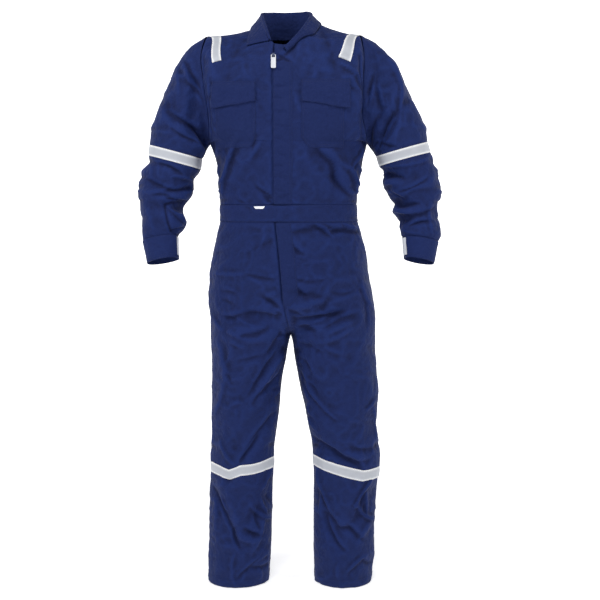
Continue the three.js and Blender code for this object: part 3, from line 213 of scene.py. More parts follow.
# Creases on each side of the suit: a line, the half widths of its steep and its soft side, how far
# it stands out, and how far it bows sideways. The places are x and z in front and behind, and
# y and z at the two sides.
CREASES = {
    "front": (
        (-282, 1470, -227, 1381, 4, 12, -5, 0), (-288, 1473, -272, 1424, 4, 10, 3, 2),
        (-283, 1433, -249, 1400, 5, 12, -3, -3), (-249, 1400, -221, 1326, 5, 12, -4, 4),
        (-333, 1346, -257, 1300, 4, 10, -5, -1), (-325, 1303, -263, 1266, 4, 12, -4, -3),
        (-269, 1303, -235, 1244, 5, 10, -6, 5), (-257, 1275, -233, 1226, 6, 12, 5, -3),
        (-307, 1461, -302, 1406, 5, 14, 3, 1), (-352, 1355, -325, 1312, 6, 14, 3, 1),
        (-373, 1214, -317, 1221, 4, 8, 3, -4), (-354, 1204, -302, 1180, 4, 9, -4, 4),
        (-389, 1158, -324, 1133, 5, 12, -5, -2), (-324, 1130, -273, 1138, 5, 9, -5, -1),
        (-314, 1170, -264, 1155, 4, 8, 4, 3), (-393, 1127, -330, 1142, 7, 12, 4, -4),
        (-368, 1121, -324, 1115, 4, 8, -3, 2), (-334, 1110, -284, 1101, 3, 7, -5, 0),
        (-343, 1093, -327, 1015, 2, 5, -3, -4), (-338, 1096, -296, 1094, 3, 6, -5, 3),
        (-328, 1080, -281, 1045, 3, 8, 4, -3), (-319, 1062, -288, 1033, 5, 10, -4, 0),
        (-325, 1021, -285, 1030, 3, 7, -4, 2), (-290, 1102, -281, 1087, 3, 6, 3, -1),
        (-400, 1090, -376, 1021, 9, 16, 3, 4), (189, 1491, 196, 1395, 3, 8, -4, -2),
        (226, 1437, 213, 1369, 4, 10, -5, -2), (226, 1412, 204, 1369, 5, 12, 4, 3),
        (244, 1430, 257, 1357, 6, 14, 3, -5), (268, 1482, 300, 1412, 4, 10, 4, 2),
        (300, 1412, 302, 1357, 4, 10, 4, 1), (291, 1343, 248, 1260, 4, 12, -6, -6),
        (301, 1324, 262, 1257, 8, 14, 4, 5), (236, 1324, 218, 1263, 8, 14, -6, -3),
        (246, 1260, 287, 1251, 5, 10, -4, 0), (234, 1238, 255, 1275, 4, 8, 3, 2),
        (265, 1201, 374, 1214, 4, 8, 3, -8), (256, 1177, 306, 1167, 7, 10, -6, 3),
        (256, 1152, 300, 1152, 7, 10, 4, 0), (310, 1130, 369, 1158, 3, 8, -4, -3),
        (313, 1121, 375, 1142, 4, 9, 4, 5), (282, 1130, 310, 1108, 5, 10, -5, -2),
        (298, 1090, 351, 1096, 4, 8, -5, 1), (288, 1074, 332, 1065, 4, 8, 4, 2),
        (307, 1062, 392, 1080, 4, 9, -4, -6), (333, 1037, 386, 1047, 3, 7, -5, 3),
        (385, 1096, 389, 1021, 4, 9, 3, -2), (314, 1021, 364, 1005, 4, 8, 4, -1),
        (-159, 1225, -185, 1152, 6, 12, 3, 5), (-147, 1231, -169, 1158, 8, 16, -4, -5),
        (-98, 1243, -94, 1274, 3, 8, -2, 1), (-85, 1250, -104, 1219, 5, 12, 3, 0),
        (75, 1243, 112, 1207, 5, 12, -4, -3), (112, 1207, 125, 1164, 5, 12, -6, 3),
        (121, 1170, 162, 1121, 5, 12, -5, -3), (93, 1237, 162, 1188, 6, 14, 4, 0),
        (162, 1188, 187, 1133, 6, 12, 5, 3), (165, 1185, 183, 1204, 3, 7, -4, -2),
        (142, 1464, 188, 1425, 3, 8, 4, 3), (148, 1413, 185, 1395, 3, 7, -2, 0),
        (176, 1434, 188, 1407, 3, 6, -3, -1), (-210, 1425, -216, 1371, 5, 10, -3, 4),
        (-221, 1250, -191, 1176, 6, 14, -4, -5), (-29, 1491, 1, 1474, 3, 8, -3, 1),
        (14, 1515, -23, 1485, 4, 9, -2, 1), (-86, 1139, -41, 1116, 3, 8, -3, -3),
        (-135, 1102, -108, 1081, 3, 8, -3, 2), (-67, 1113, -42, 1093, 3, 7, -3, -1),
        (-61, 1114, -37, 1108, 3, 7, -3, 0), (-29, 1112, 4, 1102, 3, 7, -2, 2),
        (4, 1102, 36, 1092, 3, 7, 2, -2), (61, 1040, 108, 1011, 3, 9, -4, 2),
        (69, 1035, 126, 1026, 3, 8, 3, 0), (101, 1035, 140, 1026, 3, 8, -5, -2),
        (122, 1023, 183, 1019, 4, 9, -4, 4), (144, 1038, 163, 1029, 3, 7, -4, -1),
        (150, 1031, 185, 1026, 4, 8, 4, 0), (8, 1017, 65, 1023, 7, 14, -4, 2),
        (12, 978, 30, 962, 4, 9, -4, -2), (-103, 966, -45, 994, 12, 22, -3, 4),
        (-214, 901, -119, 904, 3, 7, 2, -2), (-119, 904, -29, 891, 3, 7, -2, -3),
        (-25, 888, 7, 894, 3, 7, -2, 2), (7, 894, 94, 889, 3, 7, -2, -6),
        (-185, 855, -153, 851, 3, 8, -2, 1), (-182, 828, -157, 820, 4, 9, -2, 1),
        (-178, 783, -145, 787, 3, 8, -4, -2), (-128, 793, -30, 785, 7, 16, -4, 7),
        (-149, 785, -83, 756, 8, 14, 4, -3), (-166, 739, -141, 729, 4, 9, 3, 0),
        (-137, 731, -96, 739, 5, 10, -3, 2), (-116, 735, -67, 751, 6, 12, -4, -4),
        (-66, 838, -30, 814, 7, 12, -5, 2), (-58, 847, -36, 851, 5, 9, 3, 0),
        (-36, 799, -13, 797, 3, 5, -4, -1), (-30, 791, -13, 787, 3, 5, -4, 1),
        (-17, 863, 12, 869, 5, 10, 4, -2), (20, 863, 36, 851, 5, 9, -4, 0),
        (12, 847, 90, 840, 12, 18, -5, 3), (3, 814, 69, 826, 9, 16, 5, -4),
        (-5, 805, 28, 795, 4, 9, -4, 2), (36, 780, 135, 794, 4, 14, -6, -3),
        (28, 766, 98, 780, 5, 10, 5, -2), (24, 754, 65, 751, 5, 10, -5, 3),
        (81, 809, 106, 826, 12, 14, -4, -2), (98, 754, 168, 785, 7, 14, -4, 3),
        (110, 739, 156, 764, 7, 14, 4, 1), (122, 851, 168, 851, 4, 8, -2, -3),
        (110, 805, 131, 807, 3, 7, 2, 1), (82, 714, 164, 747, 6, 14, 3, -4),
        (40, 704, 61, 701, 6, 10, -3, 0), (73, 693, 82, 689, 5, 8, -3, 0),
        (102, 699, 152, 685, 5, 12, 2, -4), (-30, 739, -55, 687, 8, 14, -5, 3),
        (-42, 672, -105, 576, 6, 14, -5, -1), (-26, 664, -84, 563, 6, 12, 4, -4),
        (-24, 635, -63, 576, 5, 10, -4, 5), (-158, 712, -125, 701, 4, 9, 2, -2),
        (-137, 664, -75, 676, 5, 12, -2, 1), (-177, 622, -165, 601, 3, 7, -2, 1),
        (-183, 689, -173, 639, 6, 12, -3, -3), (-195, 697, -183, 597, 7, 14, 3, 7),
        (36, 618, 69, 555, 3, 8, 4, -2), (28, 614, 53, 555, 3, 7, -3, -1),
        (36, 660, 57, 626, 6, 10, -3, 2), (200, 871, 225, 814, 4, 10, 3, -4),
        (205, 847, 217, 764, 5, 12, -3, 4), (-211, 772, -190, 747, 4, 9, 3, 0),
        (-50, 595, -99, 546, 6, 12, -5, -3), (-26, 577, -37, 551, 3, 6, 3, 2),
        (-46, 497, -135, 380, 7, 16, -5, -8), (-91, 438, -135, 380, 4, 10, -5, 1),
        (-187, 586, -214, 501, 5, 12, 3, 4), (-195, 422, -164, 370, 3, 7, 3, -4),
        (-161, 537, -139, 542, 4, 9, 2, 1), (33, 595, 82, 537, 3, 7, 4, -1),
        (82, 537, 126, 497, 4, 10, 3, -2), (46, 595, 73, 564, 3, 6, -3, 3),
        (49, 524, 60, 499, 3, 6, 3, -2), (51, 483, 69, 459, 3, 6, 3, 1),
        (69, 425, 144, 389, 5, 12, -5, 2), (131, 393, 211, 370, 5, 14, -4, -5),
        (170, 393, 211, 357, 8, 16, 5, 4), (179, 411, 241, 402, 6, 12, -3, -3),
        (218, 519, 240, 542, 3, 7, 3, 0), (236, 515, 245, 429, 3, 7, 3, 5),
        (-184, 316, -162, 320, 5, 9, -3, -2), (-51, 352, -73, 289, 3, 8, 4, 3),
        (-78, 252, -69, 215, 3, 7, 4, 0), (-107, 234, -60, 192, 3, 8, 5, -3),
        (-60, 252, -54, 197, 3, 7, -3, 4), (-94, 225, -92, 179, 6, 10, -5, -3),
        (-223, 270, -163, 169, 5, 14, -5, 2), (-198, 257, -185, 229, 3, 7, 3, 1),
        (-163, 169, -148, 123, 4, 10, -5, -3), (-221, 247, -212, 202, 3, 7, 3, 3),
        (-154, 160, -114, 137, 8, 14, 4, -1), (-123, 169, -92, 151, 6, 9, -6, -1),
        (-78, 188, -103, 114, 6, 12, 3, 5), (-162, 91, -160, 17, 3, 8, 2, -5),
        (-142, 38, -92, 82, 3, 8, -3, 2), (-115, 63, -70, 91, 7, 12, 3, 1),
        (-106, 59, -63, 54, 4, 8, -3, -2), (-88, 49, -83, 21, 3, 6, 2, 2),
        (78, 339, 111, 225, 3, 8, 4, -6), (80, 311, 87, 206, 3, 7, 3, 0),
        (100, 215, 134, 188, 4, 12, -3, 2), (100, 206, 147, 119, 5, 12, -5, -7),
        (136, 179, 176, 174, 5, 10, -3, 2), (167, 183, 199, 146, 6, 12, -5, -1),
        (229, 311, 185, 243, 3, 8, 5, -3), (185, 243, 203, 225, 3, 7, 4, 2),
        (198, 225, 234, 192, 3, 7, 6, -3), (218, 270, 218, 215, 3, 7, 4, 1),
        (211, 279, 202, 243, 4, 8, -4, 1), (221, 183, 199, 142, 6, 12, 4, -3),
        (170, 56, 212, 86, 3, 8, 4, 3), (136, 68, 134, 31, 3, 7, 2, -1),
        (203, 82, 231, 59, 6, 10, -3, -1), (-143, 1267, -182, 1131, 3, 12, 5, -4),
        (203, 1242, 166, 1188, 3, 10, 5, 0), (166, 1188, 182, 1130, 3, 10, 5, 0),
        (-40, 1478, -24, 1480, 2, 6, -2.4, 0), (-40, 1449, -20, 1452, 2, 7, -2.6, 1),
        (-40, 1405, -22, 1407, 2, 7, -2.6, 0), (-40, 1376, -18, 1377, 2, 6, -2, 0),
        (-40, 1337, -20, 1340, 2, 7, -2.6, 1), (-40, 1303, -16, 1304, 2, 7, -2.8, 0),
        (-40, 1268, -22, 1269, 2, 6, -2, 0), (-40, 1229, -14, 1226, 2, 8, -2.8, -1),
        (-40, 1196, -20, 1198, 2, 6, -2, 0), (-40, 1169, -16, 1166, 2, 8, -2.8, 0),
        (-40, 1132, -18, 1130, 2, 7, -2.2, 0), (-40, 1112, -8, 1118, 2, 8, -2.6, 2),
    ),
    "back": (
        (-212, 1500, -196, 1400, 5, 12, -4, 6), (-170, 1500, -120, 1450, 5, 14, -4, -5),
        (-95, 1560, -50, 1535, 4, 10, -3, 3), (200, 1498, 188, 1402, 5, 12, -5, -6),
        (150, 1505, 108, 1458, 5, 14, -4, 5), (82, 1560, 40, 1538, 4, 10, -3, -3),
        (-188, 1330, -95, 1362, 6, 16, -5, 8), (-196, 1300, -120, 1322, 5, 12, 4, 5),
        (186, 1336, 92, 1360, 6, 16, -5, -8), (190, 1305, 122, 1320, 5, 12, 4, -5),
        (-60, 1440, -20, 1400, 6, 18, -3, 4), (50, 1430, 12, 1385, 6, 18, -3, -4),
        (-186, 1262, -120, 1190, 6, 16, -6, 9), (-150, 1240, -84, 1150, 6, 14, 5, 8),
        (-120, 1190, -60, 1118, 5, 12, -4, 5), (184, 1268, 124, 1186, 6, 16, -6, -9),
        (152, 1236, 90, 1146, 6, 14, 5, -8), (118, 1196, 66, 1120, 5, 12, -5, -5),
        (-176, 1150, -132, 1112, 5, 10, 4, 3), (170, 1156, 136, 1108, 5, 10, 4, -3),
        (-40, 1180, 30, 1168, 5, 13, -3, 4), (-90, 1135, -20, 1122, 4, 10, -3, 2),
        (30, 1130, 96, 1138, 4, 10, -3, 2), (-148, 1102, -142, 1128, 3, 7, -3, 0),
        (-118, 1098, -110, 1122, 3, 7, 3, 0), (-88, 1096, -84, 1116, 3, 7, -3, 0),
        (-52, 1096, -50, 1112, 3, 6, -2, 0), (60, 1096, 56, 1114, 3, 6, -3, 0),
        (92, 1098, 86, 1120, 3, 7, 3, 0), (124, 1098, 114, 1124, 3, 7, -3, 0),
        (150, 1100, 142, 1122, 3, 7, 2, 0), (-150, 1040, -128, 1002, 3, 9, -4, 2),
        (-118, 1040, -104, 1010, 3, 8, 3, 1), (-70, 1040, -64, 1014, 3, 8, -3, 0),
        (62, 1040, 70, 1012, 3, 8, -3, 0), (112, 1040, 128, 1006, 3, 9, -4, -2),
        (142, 1040, 158, 1012, 3, 8, 3, -1), (-190, 985, -110, 968, 5, 14, -3, 4),
        (188, 990, 112, 970, 5, 14, -3, -4), (-60, 985, 54, 978, 5, 12, -2, 3),
        (-196, 905, -150, 860, 7, 18, 4, 6), (196, 912, 148, 858, 7, 18, 4, -6),
        (-186, 838, -46, 800, 6, 18, -7, -12), (-170, 806, -60, 776, 6, 14, 5, -8),
        (-150, 776, -40, 744, 6, 16, -6, -8), (188, 842, 44, 802, 6, 18, -7, 12),
        (172, 808, 62, 774, 6, 14, 5, 8), (146, 780, 42, 748, 6, 16, -7, 8),
        (-28, 790, -10, 742, 5, 14, -5, 0), (26, 790, 12, 742, 5, 14, -5, 0),
        (-196, 720, -120, 690, 6, 16, -5, 6), (196, 724, 118, 688, 6, 16, -5, -6),
        (-40, 716, -120, 640, 6, 16, -6, 9), (-56, 690, -146, 600, 7, 18, 4, 9),
        (42, 718, 128, 636, 6, 16, -6, -9), (60, 688, 150, 596, 7, 18, 4, -9),
        (-206, 640, -160, 560, 8, 20, -4, 6), (210, 636, 168, 552, 8, 20, -4, -6),
        (-90, 600, -170, 520, 8, 22, -3, 6), (96, 596, 176, 512, 8, 22, -3, -6),
        (-50, 450, -120, 424, 5, 13, -5, 5), (-60, 424, -150, 402, 5, 12, 4, 6),
        (-70, 398, -190, 384, 5, 13, -6, 8), (-120, 372, -216, 378, 5, 12, 4, 5),
        (-210, 352, -150, 366, 5, 11, -4, 4), (62, 458, 132, 432, 5, 13, -5, -5),
        (72, 432, 164, 408, 5, 12, 4, -6), (84, 404, 210, 388, 5, 13, -6, -8),
        (130, 378, 236, 382, 5, 12, 4, -5), (238, 356, 172, 370, 5, 11, -4, -4),
        (-62, 292, -150, 262, 5, 13, -5, 5), (-80, 268, -196, 240, 5, 13, 5, 6),
        (-216, 262, -168, 232, 5, 12, -5, 3), (-70, 236, -150, 206, 5, 12, -4, 4),
        (84, 296, 170, 264, 5, 13, -5, -5), (98, 270, 216, 246, 5, 13, 5, -6),
        (242, 268, 192, 236, 5, 12, -5, -3), (86, 238, 166, 210, 5, 12, -4, -4),
        (-200, 180, -140, 140, 6, 14, -4, 4), (-88, 160, -140, 112, 6, 14, -4, 4),
        (-170, 120, -196, 60, 6, 12, -3, 3), (212, 184, 156, 138, 6, 14, -4, -4),
        (100, 166, 152, 118, 6, 14, -4, -4), (182, 118, 206, 58, 6, 12, -3, -3),
        (-110, 84, -104, 30, 5, 11, 3, 2), (118, 86, 112, 34, 5, 11, 3, -2),
        (-256, 1470, -280, 1400, 5, 13, -5, 5), (-276, 1450, -306, 1380, 5, 12, 4, 5),
        (-262, 1370, -290, 1300, 6, 14, -4, 5), (-330, 1390, -300, 1330, 5, 12, -4, 3),
        (-346, 1340, -262, 1284, 5, 12, -5, 5), (-362, 1300, -270, 1256, 5, 12, 4, 5),
        (-372, 1272, -300, 1238, 4, 10, -4, 3), (246, 1472, 268, 1402, 5, 13, -5, -5),
        (266, 1452, 294, 1382, 5, 12, 4, -5), (252, 1372, 280, 1302, 6, 14, -4, -5),
        (322, 1386, 290, 1332, 5, 12, -4, -3), (338, 1342, 256, 1286, 5, 12, -5, -5),
        (354, 1298, 262, 1258, 5, 12, 4, -5), (364, 1268, 296, 1238, 4, 10, -4, -3),
        (-392, 1186, -280, 1166, 4, 11, -4, 4), (-404, 1160, -290, 1142, 4, 12, 4, 4),
        (-412, 1134, -300, 1120, 4, 12, -5, 4), (-414, 1106, -306, 1098, 4, 11, 4, 3),
        (-404, 1080, -310, 1074, 4, 11, -5, 3), (-408, 1052, -312, 1048, 4, 11, 4, 3),
        (-400, 1026, -320, 1022, 4, 10, -4, 2), (384, 1190, 276, 1170, 4, 11, -4, -4),
        (400, 1162, 286, 1146, 4, 12, 4, -4), (408, 1136, 292, 1122, 4, 12, -5, -4),
        (408, 1108, 304, 1100, 4, 11, 4, -3), (400, 1082, 306, 1078, 4, 11, -5, -3),
        (404, 1054, 310, 1050, 4, 11, 4, -3), (402, 1026, 318, 1024, 4, 10, -4, -2),
    ),
    "right": (
        (-60, 1225, 20, 1190, 5, 14, -5, 5), (-40, 1185, 50, 1160, 5, 13, 4, 5),
        (60, 1230, 10, 1180, 6, 15, -5, 4), (-70, 1150, 0, 1128, 4, 11, -4, 3),
        (40, 1140, 80, 1120, 4, 10, -3, 2), (-50, 1030, -30, 1004, 3, 9, -4, 1),
        (10, 1034, 14, 1006, 3, 8, 3, 0), (60, 1030, 50, 1000, 3, 9, -4, 0),
        (-80, 960, 20, 940, 6, 15, -3, 5), (-60, 880, 40, 860, 8, 20, -4, 6),
        (90, 800, 10, 770, 7, 18, -4, 6), (-70, 690, 30, 640, 8, 20, -4, 8),
        (70, 560, -10, 520, 8, 20, -3, 6), (-60, 404, 20, 392, 5, 13, -5, 5),
        (70, 384, 0, 370, 5, 13, 4, 5), (-50, 300, 40, 284, 5, 13, -4, 5),
        (60, 262, -30, 236, 5, 13, -5, 6), (-50, 214, 40, 196, 5, 13, 4, 5),
        (50, 150, -20, 120, 6, 14, -4, 5), (-40, 84, 10, 46, 6, 12, 3, 3),
        (-50, 1400, 30, 1370, 5, 13, -4, 5), (60, 1352, 0, 1322, 5, 13, -4, 4),
        (-50, 1310, 40, 1286, 5, 12, 4, 5), (-60, 1170, 30, 1158, 4, 11, -4, 4),
        (20, 1140, -70, 1128, 4, 11, 4, 4), (-76, 1104, 20, 1094, 4, 11, -4, 4),
        (6, 1066, -78, 1056, 4, 10, -4, 3),
    ),
    "left": (
        (-66, 1220, 14, 1192, 5, 14, -5, 5), (-44, 1190, 46, 1158, 5, 13, 5, 6),
        (64, 1226, 12, 1178, 6, 15, -5, 4), (-74, 1146, -4, 1130, 4, 11, -4, 3),
        (44, 1136, 84, 1122, 4, 10, -3, 2), (-46, 1032, -30, 1002, 3, 9, -4, 1),
        (14, 1034, 16, 1004, 3, 8, 3, 0), (56, 1030, 46, 1002, 3, 9, -4, 0),
        (-76, 962, 24, 944, 6, 15, -3, 5), (-54, 884, 44, 862, 8, 20, -4, 6),
        (86, 804, 8, 772, 7, 18, -4, 6), (-66, 694, 34, 646, 8, 20, -4, 8),
        (74, 566, -6, 522, 8, 20, -3, 6), (-64, 410, 24, 396, 5, 13, -5, 5),
        (66, 388, -4, 372, 5, 13, 4, 5), (-54, 306, 36, 288, 5, 13, -4, 5),
        (64, 268, -26, 240, 5, 13, -5, 6), (-54, 218, 36, 200, 5, 13, 4, 5),
        (46, 156, -24, 124, 6, 14, -4, 5), (-44, 88, 6, 50, 6, 12, 3, 3),
        (-54, 1404, 26, 1372, 5, 13, -4, 5), (56, 1356, -4, 1326, 5, 13, -4, 4),
        (-54, 1306, 36, 1288, 5, 12, 4, 5), (-64, 1166, 26, 1156, 4, 11, -4, 4),
        (16, 1136, -74, 1126, 4, 11, 4, 4), (-72, 1100, 24, 1092, 4, 11, -4, 4),
        (10, 1062, -74, 1054, 4, 10, -4, 3),
    ),
}


def smooth(value):
    held = np.clip(value, 0, 1)
    return held * held * (3 - 2 * held)


def lerp(low, high, share):
    return low + (high - low) * share


def point(x, y, z):
    return np.stack(np.broadcast_arrays(x, y, z), -1).astype(float)


def unit(arrows):
    return arrows / np.maximum(np.linalg.norm(arrows, axis=-1, keepdims=True), 1e-9)


def near(distance, width):
    return np.exp(-((distance / width) ** 2))


# One column of a table, read at z by a smooth curve through its rows
def read(rows, column, z):
    z = np.asarray(z, float)
    at, value = rows["z"], rows[column]
    last = len(at) - 1
    row = np.clip(np.searchsorted(at, z) - 1, 0, last - 1)
    before, after = np.maximum(row - 1, 0), np.minimum(row + 2, last)
    span = at[row + 1] - at[row]
    t = (z - at[row]) / span
    slope_low = (value[row + 1] - value[before]) / (at[row + 1] - at[before]) * span
    slope_high = (value[after] - value[row]) / (at[after] - at[row]) * span
    a, b = t * t, t * t * t
    return (
        (2 * b - 3 * a + 1) * value[row]
        + (b - 2 * a + t) * slope_low
        + (3 * a - 2 * b) * value[row + 1]
        + (b - a) * slope_high
    )


for rows in SLEEVES.values():
    rows["z"] = np.arange(CUFF_SEAM + 1.0)


# The body's right or left half: s is 0 at the front seam, 0.5 at the side and 1 at the back seam
def trunk(side, s, z):
    middle = read(TRUNK, "middle", z)
    half = read(TRUNK, side, z) - middle
    start = np.arcsin((read(TRUNK, "split", z) - middle) / half)
    end = np.pi - np.arcsin((read(TRUNK, "spine", z) - middle) / half)
    angle = np.where(s < 0.5, lerp(start, np.pi / 2, 2 * s), lerp(np.pi / 2, end, 2 * s - 1))
    depth = np.where(angle < np.pi / 2, read(TRUNK, "front", z), read(TRUNK, "back", z)) - SIDE_Y
    return point(middle + half * np.sin(angle), SIDE_Y + depth * np.abs(np.cos(angle)) ** 0.8, z)


# A leg: s is 0 and 1 at the inseam, 0.25 in front and 0.5 at the side seam
def leg(side, s, z):
    turn = 2 * np.pi * s
    depth = np.where(np.sin(turn) > 0, read(LEGS, "front", z), read(LEGS, "back", z)) - SIDE_Y
    across = (1 - np.cos(turn)) / 2
    near_knee = np.clip((z - KNEE["z"]) / KNEE["reach"], -1, 1)
    climb = KNEE[side] * (1 - near_knee**2) ** 2 * (1 - across)
    x = lerp(read(LEGS, side + "In", z), read(LEGS, side + "Out", z), across)
    return point(x, SIDE_Y + depth * np.abs(np.sin(turn)) ** 0.85, z + climb)


# The trousers: two legs that open into one body between the crotch and the fork's height
def trousers(side, s, z):
    s, z = np.broadcast_arrays(np.asarray(s, float), np.asarray(z, float))
    climb = np.clip((z - CROTCH) / (FORK - CROTCH), 0, 1)
    opened = lerp(1 - (1 - climb) ** 2.2, smooth(climb), smooth(np.minimum(s, 1 - s) * 5))
    low = leg(side, s, np.minimum(z, CROTCH))
    joined = lerp(low, trunk(side, s, np.maximum(z, CROTCH)), opened[..., None])
    joined[..., 2] = np.where(z > CROTCH, z, low[..., 2])
    return joined


# The armhole seam on one face of the body: t is 0 at the armpit and 1 at the shoulder
def armhole(side, face, t):
    rows = SLEEVES[side]
    turn = np.pi * (1 - t)
    up = (1 + np.cos(turn)) / 2
    depth = ARMHOLES[side][face] - SIDE_Y
    if face == "front":
        swing = read(ARMHOLE_SWING, side, t)
    else:
        swing = ARMHOLES[side]["inward"] * np.sin(np.pi * t)
    x = lerp(rows["inX"][0], rows["outX"][0], up) + swing
    return point(x, SIDE_Y + depth * np.abs(np.sin(turn)) ** 0.9, lerp(rows["inZ"][0], rows["outZ"][0], up))


def spot(rows, at):
    return point(read(rows, "x", at), read(rows, "y", at), read(rows, "up", at))


# The upper edge of a front or a back: the neckline to s 0.5, then the shoulder seam
def upper_edge(side, face, s):
    s = np.asarray(s, float)
    rows = NECK[side, face]
    along = 2 * s - 1
    shoulder = lerp(spot(rows, 0.5), armhole(side, face, 1.0), along[..., None])
    shoulder[..., 2] -= 5 * np.sin(np.pi * along)
    return np.where((s <= 0.5)[..., None], spot(rows, np.minimum(s, 0.5)), shoulder)


# The top of the suit: s is 0 at the front or back seam and 1 at the side seam or armhole,
# v is 0 at the waistband, 1 at the armpits and 2 at the neckline and the shoulder seam
def bodice(side, face, s, v):
    s, v = np.broadcast_arrays(np.asarray(s, float), np.asarray(v, float))
    along = s / 2 if face == "front" else 1 - s / 2
    lower = trunk(side, along, lerp(BAND_TOP, ARMPIT, np.minimum(v, 1)))
    t = np.clip(v - 1, 0, 1)
    up = (t**3)[..., None]
    out = smooth(s)[..., None]
    start = 0 if face == "front" else 1
    bottom = lerp(trunk(side, start, ARMPIT), armhole(side, face, 0.0), out)
    top = lerp(upper_edge(side, face, 0.0), upper_edge(side, face, 1.0), out)
    upper = (
        trunk(side, along, ARMPIT) * (1 - up)
        + upper_edge(side, face, s) * up
        + spot(CENTRES[face], t) * (1 - out)
        + armhole(side, face, t) * out
        + bottom * (up - 1)
        - top * up
    )
    return np.where((v <= 1)[..., None], lower, upper)


# A sleeve: turn runs once round from the outer point over the front, ring counts down the arm,
# and the rings after the cuff seam belong to the cuff
def sleeve(side, turn, ring):
    turn, ring = np.broadcast_arrays(np.asarray(turn, float) % 1, np.asarray(ring, float))
    ring = np.clip(ring, 0, CUFF_END)
    rows, cuff = SLEEVES[side], CUFFS[side]
    arm = np.minimum(ring, CUFF_SEAM)
    down = np.clip((ring - CUFF_SEAM) / (CUFF_END - CUFF_SEAM), 0, 1)
    sizes = {name: lerp(read(rows, name, arm), cuff[name], down) for name in cuff}
    up = (1 + np.cos(2 * np.pi * turn)) / 2
    ahead = turn <= 0.5
    t = np.abs(1 - 2 * turn)
    front, back = read(SLEEVE_DEPTH, "front", ring), read(SLEEVE_DEPTH, "back", ring)
    middle = (front + back) / 2
    deep = np.abs(np.sin(2 * np.pi * turn)) ** 0.9
    drop = read(SLEEVE_DEPTH, "drop", ring) / 2 * np.where(ahead, deep, -deep)
    holes = np.where(ahead[..., None], armhole(side, "front", t), armhole(side, "back", t))
    fade = np.maximum(0, 1 - ring / 4)
    swing = (holes[..., 0] - lerp(rows["inX"][0], rows["outX"][0], up)) * fade
    x = lerp(sizes["inX"], sizes["outX"], up) + swing
    y = lerp(SIDE_Y, middle, np.minimum(ring / 4, 1)) + (np.where(ahead, front, back) - middle) * deep
    body = point(x, y, lerp(sizes["inZ"], sizes["outZ"], up) + drop)
    return np.where((ring > 0)[..., None], body, holes)


# Smooth noise from -1 to 1 in space, the same each time
LATTICE = np.random.default_rng(11).random((24, 24, 24)) * 2 - 1


def noise(place, size, seed=0.0):
    at = place / size + seed
    cell = np.floor(at).astype(int)
    share = smooth(at - cell)
    total = 0
    for corner in np.ndindex(2, 2, 2):
        weight = 1
        for axis in range(3):
            weight = weight * (share[..., axis] if corner[axis] else 1 - share[..., axis])
        i, j, k = ((cell[..., axis] + corner[axis]) % 24 for axis in range(3))
        total = total + weight * LATTICE[i, j, k]
    return total


def ridged(place, size, seed=0.0):
    return 1 - 2 * np.abs(noise(place, size, seed)) ** 0.8


# How far the cloth at a place, facing along normal, stands out of its bare form
FACING = {"front": (1, -1), "back": (1, 1), "right": (0, -1), "left": (0, 1)}


def rise_and_fall(place, normal):
    out = np.zeros(place.shape[:-1])
    for face in ("front", "back", "right", "left"):
        axis, sign = FACING[face]
        turned = normal[..., axis] * sign
        facing = smooth(turned * 2.2) if axis else smooth((turned - 0.55) * 3)
        for line in FOLDS.get(face, ()) + CREASES[face]:
            x0, z0, x1, z1, *sizes = line
            length = math.hypot(x1 - x0, z1 - z0)
            reach = 60 if len(sizes) == 2 else 4 * sizes[1]
            px, pz = place[..., 1 - axis], place[..., 2]
            close = (facing > 0) & (px > min(x0, x1) - reach) & (px < max(x0, x1) + reach)
            close &= (pz > min(z0, z1) - reach) & (pz < max(z0, z1) + reach)
            if not close.any():
                continue
            dx, dz = (x1 - x0) / length, (z1 - z0) / length
            qx, qz = px[close] - x0, pz[close] - z0
            along, aside = qx * dx + qz * dz, qz * dx - qx * dz
            if len(sizes) == 2:
                width, height = sizes
                past = np.maximum(0, np.maximum(-along, along - length))
                past = past + np.maximum(0, np.abs(along / length - 0.5) - 0.2) * 8
                shape = near(aside, width) * near(past, width * 1.4) * 1.1
            else:
                steep, soft, height, bow = sizes
                t = along / length
                aside = aside - bow * (1 - (2 * np.clip(t, -0.2, 1.2) - 1) ** 2)
                above = aside * (1 if (dx > 0 if abs(dx) > abs(dz) else dz * (x0 + x1) < 0) else -1)
                steep_side = (above > 0) == (height < 0)
                width = np.where(steep_side, steep, soft)
                past = np.maximum(0, np.maximum(-along, along - length))
                shape = np.exp(-(np.abs(aside / width) ** 1.6)) * near(past, soft * 1.1)
                shape = shape * (0.5 + 0.5 * np.sin(np.pi * np.clip(t, 0, 1)) ** 0.7) * 1.9
            out[close] += facing[close] * height * shape * (1 if axis else 0.45)
    return out


def crumple(place):
    warp = place + 14 * noise(place, 60, 3.1)[..., None]
    out = 2.4 * noise(place, 85, 0.4) + 1.8 * ridged(warp, 46, 5.2) + 0.9 * ridged(warp, 21, 1.7)
    return out + 0.3 * noise(place, 10, 2.2)


# A cloth surface with its folds: shape gives the bare point, outward is 1 or -1, and hold is 0
# where a seam holds the cloth flat and 1 where the folds are free
def cloth(shape, outward, hold):
    def at(a, b):
        place = shape(a, b)
        across = shape(a + NUDGE, b) - shape(a - NUDGE, b)
        along = shape(a, b + NUDGE) - shape(a, b - NUDGE)
        normal = unit(np.cross(across, along)) * outward
        free = hold(a, b)
        out = rise_and_fall(place, normal) * free + crumple(place) * (0.25 + 0.75 * free)
        return place + normal * (out * smooth(free * 4))[..., None]

    return at


def trouser_cloth(side):
    return cloth(
        lambda s, up: trousers(side, s, up * 1000),
        MIRROR[side],
        lambda s, up: smooth(np.minimum(s, 1 - s) * 24)
        * smooth((BAND_BOTTOM - up * 1000) / 14)
        * (0.35 + 0.65 * smooth(np.abs(s - 0.5) * 22)),
    )


